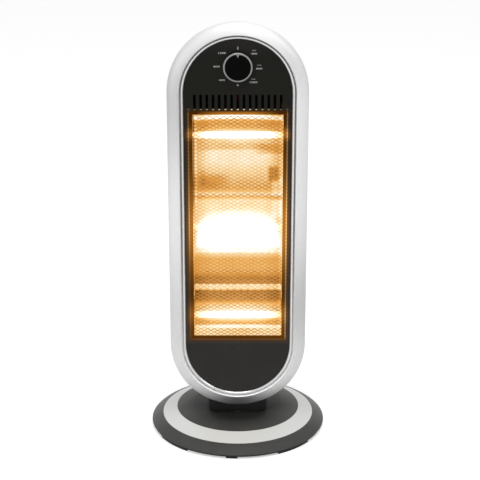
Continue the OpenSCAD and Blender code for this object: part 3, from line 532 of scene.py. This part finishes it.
panelSet = {
    "shine": 0.08,
    "colour": (0.0042, 0.0050, 0.0040),
    "topColour": (0.0160, 0.0160, 0.0158),
    "topHeights": (0.600, 0.640),  # metres
    "lowColour": (0.0260, 0.0250, 0.0235),  # paler towards the lower end
    "lowHeights": (0.50, 0.05),
    "grain": 2200.0,
    "drift": 0.2,  # share of slow dark places
    "speck": (0.04, (0.12, 0.12, 0.11, 1.0)),  # share and colour of bright points
    "rough": (0.26, 0.36),
    "bump": (0.08, 0.0002),
    "leak": 0.10,  # light on the strip round the window, away from the burst
    "leakFall": (0.0, 0.0065, 1.0, 0.12),  # from the window's edge to this far beyond it, share at each
    "leakColour": (0.16, 0.070, 0.014, 1.0),
    "vents": {
        "rise": 0.0023, "pitch": 0.0091, "half": 0.0013, "tall": 0.0012,  # metres
        "sideFall": (0.0, 0.066, 1.0, 0.15),
        "colour": (1.0, 0.78, 0.45, 1.0),
    },
}


def blackPanel(name, values):
    material, tree, shader = startMaterial(name, **{"Specular IOR Level": values["shine"], "Emission Strength": 1.0})
    texture = place(tree, mouldGrain, Size=values["grain"])
    spot = objectParts(tree)
    lowerShare = spread(tree, spot[2], *values["lowHeights"], 0.0, 1.0)
    base = blendColour(tree, lowerShare, tinted(values["colour"]), tinted(values["lowColour"]))
    base = blendColour(tree, spread(tree, spot[2], *values["topHeights"], 0.0, 1.0), base, tinted(values["topColour"]))
    base = blendColour(tree, times(tree, texture["Tone"], values["drift"]), base, black)
    share, speck = values["speck"]
    base = blendColour(tree, times(tree, texture["Speck"], share), base, speck)
    # warm light that leaks onto the strip round the window
    side = sums(tree, "ABSOLUTE", spot[0])
    beyondSide = sums(tree, "SUBTRACT", side, windowEdges["side"])
    beyondEnd = sums(tree, "SUBTRACT", howFar(tree, spot[2], windowEdges["middle"]), windowEdges["half"])
    close = spread(tree, sums(tree, "MAXIMUM", beyondSide, beyondEnd), *values["leakFall"])
    warm = times(tree, close, place(tree, rimGlow, Faint=values["leak"])["Level"])
    # light that slips out under the vent slots
    vents = values["vents"]
    inSlot = sums(tree, "LESS_THAN", sums(tree, "PINGPONG", spot[0], vents["pitch"] / 2), vents["half"])
    low = spread(tree, howFar(tree, spot[2], windowEdges["high"] + vents["rise"]), 0.0, vents["tall"], 1.0, 0.0)
    slotLight = times(tree, inSlot, low, spread(tree, side, *vents["sideFall"]))
    glow = blendColour(tree, warm, black, values["leakColour"])
    glow = blendColour(tree, slotLight, glow, vents["colour"])
    feed(tree, shader, Base_Color=base, Roughness=spread(tree, texture["Tone"], 0.0, 1.0, *values["rough"]),
         Emission_Color=glow, Normal=bump(tree, texture["Height"], *values["bump"]))
    return material


sheetSet = {
    "metal": 0.95,
    "darkLine": 0.85,
    "roughSpan": (-0.08, 0.1),
    "dim": 0.12,  # how much of the light the drawing lines take
    "back": 0.25,  # faces that look further back than this get no light
    "margins": (0.004, 0.0045),  # metres without light inside the window's lower and upper edge
    "bump": (0.2, 0.0003),
}


def litMetal(name, colour, roughness, share, stretch):
    # sheet metal behind the guard: its own finish, and the lamps' light on the side that faces them
    material, tree, shader = startMaterial(name, **{
        "Metallic": sheetSet["metal"], "Emission Strength": lampLight["strength"]})
    lines = place(tree, brushing, Stretch=stretch)
    base = blendColour(tree, lines["Tone"], tinted(colour, sheetSet["darkLine"]), tinted(colour))
    rough = spread(tree, lines["Tone"], 0.0, 1.0, *[roughness + change for change in sheetSet["roughSpan"]])
    glow = place(tree, lampGlow, Share=share)["Color"]
    glow = blendColour(tree, times(tree, lines["Tone"], sheetSet["dim"]), glow, black)
    lit = sums(tree, "LESS_THAN", facingParts(tree)[1], sheetSet["back"])
    under, over = sheetSet["margins"]
    low, high = windowEdges["low"] + under, windowEdges["high"] - over
    inside = sums(tree, "LESS_THAN", howFar(tree, objectParts(tree)[2], (low + high) / 2), (high - low) / 2)
    glow = blendColour(tree, times(tree, lit, inside), black, glow)
    feed(tree, shader, Base_Color=base, Roughness=rough, Emission_Color=glow,
         Normal=bump(tree, lines["Height"], *sheetSet["bump"]))
    return material


guardTint = {
    # the guard's metal colour is darkened and tinted warm so that its reflections take the lamps' amber: a painted
    # tint of lamp light
    "steel": (0.011, 0.005, 0.0015),
    "darkLine": 0.7,
    "stretch": (900.0, 900.0, 500.0),
    "dim": 0.2,  # how much of the light the drawing lines take
    "rough": (0.3, 0.5),
    "bump": (0.2, 0.0003),
    # colours of the painted glow on rim and border, and on the rim's lip
    "brown": (0.048, 0.013, 0.0003),  # rim and border away from the burst
    "amber": (0.50, 0.19, 0.022),  # beside the burst
    "lipBrown": (0.300, 0.175, 0.080),
    "lipAmber": (1.25, 0.74, 0.30),
    "leftSide": (-0.066, -0.050),  # the lip is darker left of the first and no darker right of the second
    "leftShade": (0.29, 0.35, 0.85, 0.38),  # from height to height, how much darker it is there
    "lowShade": 0.84,  # and at the foot
    "rightRimLight": (0.0, 0.066, 1.0, 1.3),  # from the middle to the right, how much stronger the painted light on rim and border gets
    # painted amber light on the top border: from and to this far below the window's edge, how strong at each
    "topBorderLight": (0.0002, 0.0055, 0.1, 1.1),
    "topEnd": 0.0077,  # metres below the window's edge, where it stops
    "topFade": (0.022, 0.062),  # metres from the middle, where it starts to fade and where it is gone
    "lip": 0.0018,  # metres from the rim's outer edge to where the lip starts
    "lipGlint": (0.0056, 0.70),  # pitch and contrast of the painted glints along the lip
    "border": 0.0067,  # from the window's edge to the openings
    "shift": -0.0145,  # a strand hides what is this much lower on the sheets behind it
}


def guardMetal(name, values):
    # strands take the light of what is behind them, the border and the folded rim glow brown to amber
    material, tree, shader = startMaterial(name, **{"Metallic": 1.0, "Emission Strength": lampLight["strength"]})
    lines = place(tree, brushing, Stretch=values["stretch"])
    base = blendColour(tree, lines["Tone"], tinted(values["steel"], values["darkLine"]), tinted(values["steel"]))
    spot = objectParts(tree)
    side = sums(tree, "ABSOLUTE", spot[0])
    low, high = windowEdges["low"], windowEdges["high"]
    # heat: strength of the painted lamp light on rim and border
    heat = place(tree, rimGlow, Faint=0.0)["Level"]
    heat = times(tree, heat, spread(tree, spot[0], *values["rightRimLight"], smooth=True))
    upper, lower, *strengths = values["topBorderLight"]
    over = times(tree, spread(tree, spot[2], high - upper, high - lower, *strengths),
                 sums(tree, "GREATER_THAN", spot[2], high - values["topEnd"]),
                 spread(tree, side, *values["topFade"], 1.0, 0.0))
    heat = sums(tree, "MAXIMUM", heat, over)
    border = blendColour(tree, heat, lampColour(values["brown"]), lampColour(values["amber"]))
    lip = blendColour(tree, heat, lampColour(values["lipBrown"]), lampColour(values["lipAmber"]))
    pitch, contrast = values["lipGlint"]
    lipGlint = spread(tree, sums(tree, "PINGPONG", spot[2], pitch / 2), 0.0, pitch / 2, 0.0, contrast)
    lip = blendColour(tree, lipGlint, lip, border)
    atFoot = sums(tree, "LESS_THAN", spot[2], low + values["lip"])
    leftShade = times(tree, spread(tree, spot[0], *values["leftSide"], 1.0, 0.0),
                      spread(tree, spot[2], *values["leftShade"]))
    lip = blendColour(tree, sums(tree, "MAXIMUM", leftShade, times(tree, atFoot, values["lowShade"])), lip, border)
    atLip = sums(tree, "MAXIMUM", sums(tree, "GREATER_THAN", side, windowEdges["side"] - values["lip"]), atFoot)
    border = blendColour(tree, atLip, border, lip)
    strand = place(tree, lampGlow, Shift=values["shift"], Strand=1.0)["Color"]
    inAcross = sums(tree, "LESS_THAN", side, windowEdges["side"] - values["border"])
    up = howFar(tree, spot[2], windowEdges["middle"])
    inNet = times(tree, inAcross, sums(tree, "LESS_THAN", up, windowEdges["half"] - values["border"]))
    glow = blendColour(tree, inNet, border, strand)
    glow = blendColour(tree, times(tree, lines["Tone"], values["dim"]), glow, black)
    feed(tree, shader, Base_Color=base, Roughness=spread(tree, lines["Tone"], 0.0, 1.0, *values["rough"]),
         Emission_Color=glow, Normal=bump(tree, lines["Height"], *values["bump"]))
    return material


quartzSet = {
    "plain": {"Transmission Weight": 0.6, "IOR": 1.46, "Roughness": 0.12, "Emission Strength": 1.3},
    "glowEnds": (0.072, 0.036),  # metres from the middle, where the glow starts and where it is full
    "cloud": (300.0, 3.0),  # scale and detail
    "cloudLight": (0.85, 1.0),
    "glow": ((0.16, 0.08, 0.02, 1.0), (0.75, 0.72, 0.66, 1.0)),
    "glass": ((1.0, 0.95, 0.86, 1.0), (0.95, 0.93, 0.9, 1.0)),
}


def litQuartz(name, values):
    material, tree, shader = startMaterial(name, **values["plain"])
    side = sums(tree, "ABSOLUTE", objectParts(tree)[0])
    bright = spread(tree, side, *values["glowEnds"], 0.0, 1.0, smooth=True)
    cloud = noise(tree, *values["cloud"])
    bright = times(tree, bright, spread(tree, cloud, *noiseRange, *values["cloudLight"]))
    feed(tree, shader, Base_Color=blendColour(tree, cloud, *values["glass"]),
         Emission_Color=blendColour(tree, bright, *values["glow"]))
    return material


wireSet = {
    "plain": {"Metallic": 1.0, "Roughness": 0.4, "Emission Strength": 4.0},
    "hotEnds": (0.079, 0.060),  # metres from the middle, where the wire starts to glow and where it is hottest
    "flicker": 900.0,
    "flickerHeat": (0.8, 1.0),
    "metal": ((0.4, 0.36, 0.3, 1.0), (0.6, 0.55, 0.5, 1.0)),
    "heat": ((0.3, 0.06, 0.01, 1.0), (1.0, 0.78, 0.42, 1.0)),
}


def hotWire(name, values):
    material, tree, shader = startMaterial(name, **values["plain"])
    side = sums(tree, "ABSOLUTE", objectParts(tree)[0])
    flicker = noise(tree, values["flicker"])
    heat = times(tree, spread(tree, side, *values["hotEnds"], 0.0, 1.0, smooth=True),
                 spread(tree, flicker, *noiseRange, *values["flickerHeat"]))
    feed(tree, shader, Base_Color=blendColour(tree, flicker, *values["metal"]),
         Emission_Color=blendColour(tree, heat, *values["heat"]))
    return material


# painted shade and light on the base: from and to this far from the axis, or from back to front, how much darker
# (paler at the rear) at each
baseShade = {
    "shelter": (0.050, 0.104, 0.80, 0.04),
    "front": (0.0, -0.06, 0.0, 0.45),
    "rear": (-0.010, 0.065, 0.0, 0.15),
}

finishes = {
    "base_plastic": mouldedPlastic("baseShell", (0.088, 0.088, 0.083), grain=1300.0, depth=0.3, shine=0.15,
                                   shade=baseShade),
    "silver_paint": silverPaint("silverPaint", (0.72, 0.72, 0.72), head=headSet),
    "dark_plastic": mouldedPlastic("blackShell", (0.0055, 0.0055, 0.005), 0.45, depth=0.3, dust=0.02, shine=0.2),
    "rubber": mouldedPlastic("footRubber", (0.02, 0.02, 0.02), 0.8, grain=900.0, depth=0.4, wear=0.1, shine=0.2),
    "zinc_screw": platedMetal("zincScrew", (0.62, 0.62, 0.60), 0.32, (500.0, 500.0, 500.0)),
    "black_screw": platedMetal("blackScrew", (0.05, 0.05, 0.05), 0.4, (500.0, 500.0, 500.0)),
    "motor_steel": platedMetal("motorCan", (0.66, 0.64, 0.6), 0.35, (60.0, 60.0, 900.0)),
    "ivory_plastic": mouldedPlastic("ivoryPlastic", (0.72, 0.69, 0.58), grain=1200.0, depth=0.15, wear=0.1, tone=0.05),
    "spring_steel": platedMetal("springWire", (0.6, 0.6, 0.62), 0.25, (800.0, 800.0, 800.0)),
    "nylon": mouldedPlastic("nylonWasher", (0.75, 0.74, 0.68), 0.45, grain=1200.0, depth=0.1, wear=0.1, tone=0.04),
    "plunger_red": mouldedPlastic("redPlunger", (0.45, 0.03, 0.015), 0.4, grain=1200.0, depth=0.1, wear=0.2),
    "steel": platedMetal("zincSheet", (0.58, 0.58, 0.6), 0.33, (120.0, 900.0, 900.0)),
    "trim_silver": silverPaint("brightTrim", (0.58, 0.58, 0.58), 0.25, flake=3200.0, metal=0.8),
    "panel_black": blackPanel("blackPanel", panelSet),
    "guard_steel": guardMetal("guardSteel", guardTint),
    # reflector and brackets: metal colours darkened and tinted warm so that their reflections take the lamps' amber, a
    # painted tint of lamp light
    "bright_reflector": litMetal("reflectorSheet", (0.085, 0.055, 0.025), 0.28, 1.0, (40.0, 900.0, 900.0)),
    "bracket_steel": litMetal("lampBracket", (0.08, 0.05, 0.02), 0.4, 0.85, (900.0, 60.0, 900.0)),
    "quartz": litQuartz("quartzTube", quartzSet),
    "filament": hotWire("hotWire", wireSet),
    "ceramic": mouldedPlastic("steatite", (0.78, 0.74, 0.66), 0.6, grain=1600.0, depth=0.2, wear=0.1, tone=0.04),
    "wire_sleeve": mouldedPlastic("wireSleeve", (0.16, 0.02, 0.015), 0.55, grain=700.0, depth=0.3, wear=0.05),
    "knob_black": mouldedPlastic("knobFace", (0.0012, 0.0012, 0.0011), 0.4, grain=2200.0, depth=0.12, dust=0.0,
                                 wear=0.2, shine=0.03),
    "knob_grey": silverPaint("knobRing", (0.24, 0.24, 0.24), 0.3, flake=3000.0, metal=0.4),
}

# pieces that look unlike others of their material: the sheet that the lamps don't light, painted dark at its top as
# shade, and the silver inlay
ownFinish = {
    "heat_shield": platedMetal("coldSheet", (0.6, 0.58, 0.52), 0.4, (900.0, 60.0, 900.0), dark=(0.505, 0.512)),
    "base_ring": silverPaint("inlayPaint", (0.645, 0.655, 0.635), 0.4),
}

for entry in frame["record"]["subparts"]:
    mesh = cadNodes[entry["node"]].data
    mesh.materials.clear()
    mesh.materials.append(ownFinish.get(entry["node"], finishes[entry["material_slot"]]))
print("finishes made:", len(finishes))

# pieces


def newPiece(name, bm, finish, body, slot, *stands):
    mesh = bpy.data.meshes.new(name)
    bm.to_mesh(mesh)
    bm.free()
    mesh.materials.append(finish)
    piece = bpy.data.objects.new(name, mesh)
    bpy.context.scene.collection.objects.link(piece)
    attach(piece, body)
    if stands:
        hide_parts(*stands)


def joinRings(bm, rings):
    # skin over a row of rings of vertices, closed at both ends
    bm.faces.new(rings[0][::-1])
    for last, ring in zip(rings, rings[1:]):
        for i in range(len(ring)):
            k = (i + 1) % len(ring)
            bm.faces.new((last[i], last[k], ring[k], ring[i]))
    bm.faces.new(rings[-1])


def addPrism(bm, outline, back, front):
    # outline: points (x, z) seen from the front; back and front are y values
    joinRings(bm, [[bm.verts.new((x, y, z)) for x, z in outline] for y in (back, front)])


guardSet = {
    "halfWidth": 0.0676,
    "diamond": (0.0104, 0.0056),  # pitch across and up
    "strand": 0.0010,  # width
    "thick": 0.0005,
    "border": 0.0050,
    "borderFaces": (0.0003, -0.0002),  # back and front of the flat border, from the sheet's middle
    "tilt": 35.0,  # degrees that a strand leans out of the sheet
    "knuckle": 0.05,  # share of half a diamond that is a flat knuckle
}


# expanded metal: one wavy strand for each row, touching the next strands at the knuckles
def makeGuardWeave(values):
    low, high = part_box("guard_mesh")
    middle = (low.y + high.y) / 2
    right = values["halfWidth"]
    bottom, top = low.z + values["border"], high.z - values["border"]
    pitchX, pitchZ = values["diamond"]
    steps = 2 * round(2 * right / pitchX)
    stepX = 2 * right / steps
    rows = 2 * round((top - bottom) / pitchZ)
    stepZ = (top - bottom) / rows
    flat = values["knuckle"] * stepX
    lean = math.radians(values["tilt"])
    across = Vector((0.0, -math.sin(lean), math.cos(lean))) * (values["strand"] / 2)
    through = Vector((0.0, -math.cos(lean), -math.sin(lean))) * (values["thick"] / 2)
    corners = (across + through, across - through, -across - through, -across + through)
    bm = bmesh.new()
    for row in range(rows):
        path = []
        for i in range(steps + 1):
            z = bottom + (row + (i + row) % 2) * stepZ
            for side in (-1, 1):
                x = -right + i * stepX + side * flat
                path.append(Vector((min(max(x, -right), right), middle, z)))
        joinRings(bm, [[bm.verts.new(point + corner) for corner in corners] for point in path])
    back, front = (middle + y for y in values["borderFaces"])
    for x0, x1, z0, z1 in ((-high.x, -right, low.z, high.z), (right, high.x, low.z, high.z),
                           (-right, right, low.z, bottom), (-right, right, top, high.z)):
        addPrism(bm, [(x0, z0), (x1, z0), (x1, z1), (x0, z1)], back, front)
    bmesh.ops.recalc_face_normals(bm, faces=bm.faces)
    newPiece("guardWeave", bm, finishes["guard_steel"], "head", "guard_steel", "guard_mesh")


makeGuardWeave(guardSet)
print("guard made")

# wound filaments inside the quartz tubes
coilSet = {
    "wire": 0.00022,  # radius
    "radius": 0.00095,
    "pitch": 0.0016,
    "sides": 10,  # points of one turn
    "wireSides": 4,
    "length": 0.150,
    "lead": (0.00044, 6),  # radius and sides of the straight ends
}


def makeCoil(index, values):
    low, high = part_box(f"filament_{index}")
    centre = (low + high) / 2
    length, wireSides = values["length"], values["wireSides"]
    count = int(length / values["pitch"]) * values["sides"]
    wireTurn = [2 * math.pi * k / wireSides for k in range(wireSides)]
    bm = bmesh.new()
    rings = []
    for i in range(count + 1):
        angle = 2 * math.pi * i / values["sides"]
        outward = Vector((0.0, math.cos(angle), math.sin(angle)))
        middle = Vector((centre.x - length / 2 + length * i / count, centre.y, centre.z)) + outward * values["radius"]
        rings.append([bm.verts.new(middle + (outward * math.cos(a) + Vector((math.sin(a), 0.0, 0.0))) * values["wire"])
                      for a in wireTurn])
    joinRings(bm, rings)
    radius, sides = values["lead"]
    leadTurn = [2 * math.pi * k / sides for k in range(sides)]
    for end in (-1, 1):  # from the coil to the tube's ends
        joinRings(bm, [[bm.verts.new((centre.x + end * along, centre.y + radius * math.cos(a),
                                      centre.z + radius * math.sin(a))) for a in leadTurn]
                       for along in (length / 2, (high.x - low.x) / 2)])
    bmesh.ops.recalc_face_normals(bm, faces=bm.faces)
    newPiece(f"filamentCoil{index}", bm, finishes["filament"], "head", "filament", f"filament_{index}")


for lamp in (1, 2, 3):
    makeCoil(lamp, coilSet)
print("filaments made")

# printed marks and numbers round the knob
knobLow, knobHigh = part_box("knob_ring")

dialSet = {
    "centre": (knobLow.z + knobHigh.z) / 2,  # height of the knob's axis
    "face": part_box("front_panel")[0].y,  # the panel's face
    "rise": 0.00015,
    "ink": ((0.26, 0.26, 0.255, 1.0), (0.36, 0.36, 0.35, 1.0)),
    "inkGrain": 2600.0,
    "size": (0.0056, 0.0034),  # width and height of the letters
    "letters": {"size": 1.0, "offset": 0.03, "space_character": 1.1, "extrude": 0.5, "resolution_u": 3,
                "align_x": "CENTER", "align_y": "CENTER"},
    "numbers": {  # place right of and above the knob's axis
        "lowLeft": ("400", -0.0233, -0.0200), "midLeft": ("800", -0.0310, 0.0), "highLeft": ("1200", -0.0233, 0.0200),
        "highRight": ("400", 0.0236, 0.0190), "midRight": ("800", 0.0312, -0.0030),
        "lowRight": ("1200", 0.0226, -0.0232),
    },
    "swings": {"highRight": (0.0236, 0.0238), "midRight": (0.0312, 0.0022), "lowRight": (0.0226, -0.0184)},
    "arrow": (0.0003, 0.0016, 0.0029, 0.00028, 0.0009),  # start, neck, tip, half widths of shaft and head
    "topMark": (0.0, 0.0272, 0.0021, 0.0046),  # place and size of the zero's oval
    "line": 0.0007,  # its width
    "lowDot": (0.0, -0.0275, 0.0026),
    "sides": 28,  # points round oval and dot
}


def dialInk(name, values):
    material, tree, shader = startMaterial(name, **{"Roughness": 0.5})
    grain = place(tree, mouldGrain, Size=values["inkGrain"])
    feed(tree, shader, Base_Color=blendColour(tree, grain["Speck"], *values["ink"]))
    return material


def makeDialNumber(name, text, x, up, ink, values):
    curve = bpy.data.curves.new("dialText", "FONT")
    curve.body = text
    for key, value in values["letters"].items():
        setattr(curve, key, value)
    helper = bpy.data.objects.new("dialText", curve)
    bpy.context.scene.collection.objects.link(helper)
    bpy.context.view_layer.update()
    mesh = bpy.data.meshes.new_from_object(helper.evaluated_get(bpy.context.evaluated_depsgraph_get()))
    bpy.data.objects.remove(helper)
    bm = bmesh.new()
    bm.from_mesh(mesh)
    bpy.data.meshes.remove(mesh)
    wide, tall = values["size"]
    for vert in bm.verts:
        a, b, c = vert.co  # c runs from -0.5 at the letters' back to 0.5 at their front
        vert.co = (x + a * wide, values["face"] - values["rise"] * (0.5 + c), values["centre"] + up + b * tall)
    newPiece(name, bm, ink, "head", "knob_grey")


def ovalPoints(x, z, wide, tall, sides):
    turn = [2 * math.pi * k / sides for k in range(sides)]
    return [(x + wide / 2 * math.cos(a), z + tall / 2 * math.sin(a)) for a in turn]


def makeDialMarks(ink, values):
    back, front = values["face"], values["face"] - values["rise"]
    sides = values["sides"]
    bm = bmesh.new()
    start, neck, tip, thin, wide = values["arrow"]
    arrow = [(start, -thin), (neck, -thin), (neck, -wide), (tip, 0.0), (neck, wide), (neck, thin), (start, thin)]
    for x, up in values["swings"].values():
        for direction in (-1, 1):
            outline = [(x + direction * a, values["centre"] + up + b) for a, b in arrow]
            addPrism(bm, outline[::direction], back, front)
    x, up, wide, tall = values["topMark"]
    z, line = values["centre"] + up, 2 * values["line"]
    outer, inner = ovalPoints(x, z, wide, tall, sides), ovalPoints(x, z, wide - line, tall - line, sides)
    rings = [[bm.verts.new((px, y, pz)) for px, pz in ring] for ring, y in
             ((outer, back), (outer, front), (inner, front), (inner, back))]
    for k in range(sides):
        m = (k + 1) % sides
        for i in range(len(rings)):
            j = (i + 1) % len(rings)
            bm.faces.new((rings[i][k], rings[i][m], rings[j][m], rings[j][k]))
    x, up, across = values["lowDot"]
    addPrism(bm, ovalPoints(x, values["centre"] + up, across, across, sides), back, front)
    bmesh.ops.recalc_face_normals(bm, faces=bm.faces)
    newPiece("dialMarks", bm, ink, "head", "knob_grey")


printInk = dialInk("dialPrint", dialSet)
for spotName, (text, x, up) in dialSet["numbers"].items():
    makeDialNumber("dialNumber_" + spotName, text, x, up, printInk, dialSet)
makeDialMarks(printInk, dialSet)
print("dial made")

# floor and light

stageSet = {
    "reach": 9.0,  # metres
    "squares": 6,  # along each side
    "plain": {"Roughness": 0.9, "Specular IOR Level": 0.2, "Emission Color": white},
    "colours": ((0.82, 0.82, 0.82, 1.0), (0.84, 0.84, 0.84, 1.0)),
    "speck": (40.0, 3.0),  # scale and detail
    "lift": 0.42,  # white that only the camera and reflections see
    "world": 0.62,
}


def seenDirectly(tree):
    # 1 for what the camera sees, and for what shows in metal and glass
    path = addNode(tree, "LightPath").outputs
    shown = sums(tree, "MAXIMUM", path["Is Glossy Ray"], path["Is Transmission Ray"])
    return sums(tree, "MAXIMUM", path["Is Camera Ray"], shown)


def makeFloor(values):
    material, tree, shader = startMaterial("paleFloor", **values["plain"])
    feed(tree, shader, Base_Color=blendColour(tree, noise(tree, *values["speck"]), *values["colours"]),
         Emission_Strength=times(tree, seenDirectly(tree), values["lift"]))
    bm = bmesh.new()
    bmesh.ops.create_grid(bm, x_segments=values["squares"], y_segments=values["squares"], size=values["reach"])
    mesh = bpy.data.meshes.new("floor")
    bm.to_mesh(mesh)
    bm.free()
    mesh.materials.append(material)
    floor = bpy.data.objects.new("floor", mesh)
    bpy.context.scene.collection.objects.link(floor)


def makeWorld(values):
    world = bpy.data.worlds.new("studio")
    world.use_nodes = True
    tree = world.node_tree
    tree.nodes.clear()
    strength = spread(tree, seenDirectly(tree), 0.0, 1.0, values["world"], 1.0)
    sky = addNode(tree, "Background", {"Color": white, "Strength": strength})
    output = tree.nodes.new("ShaderNodeOutputWorld")
    tree.links.new(sky.outputs[0], output.inputs[0])
    bpy.context.scene.world = world


lampSet = {
    # place, aimed at, size, watts
    "topBox": ((0.0, -0.9, 2.3), (0.0, 0.0, 0.4), 1.4, 20.0),
    "leftBox": ((-1.9, -1.5, 1.1), (0.0, 0.0, 0.4), 1.1, 13.0),
    "rightBox": ((1.9, -1.0, 1.7), (0.0, 0.0, 0.4), 1.0, 8.0),
}


def makeLamps(values):
    for name, (spot, aim, size, watts) in values.items():
        data = bpy.data.lights.new(name, "AREA")
        data.shape = "DISK"
        data.size = size
        data.energy = watts
        lamp = bpy.data.objects.new(name, data)
        lamp.location = spot
        lamp.rotation_euler = (Vector(aim) - Vector(spot)).to_track_quat("-Z", "Y").to_euler()
        bpy.context.scene.collection.objects.link(lamp)


makeFloor(stageSet)
makeWorld(stageSet)
makeLamps(lampSet)
print("floor and light made")

bpy.context.view_layer.update()
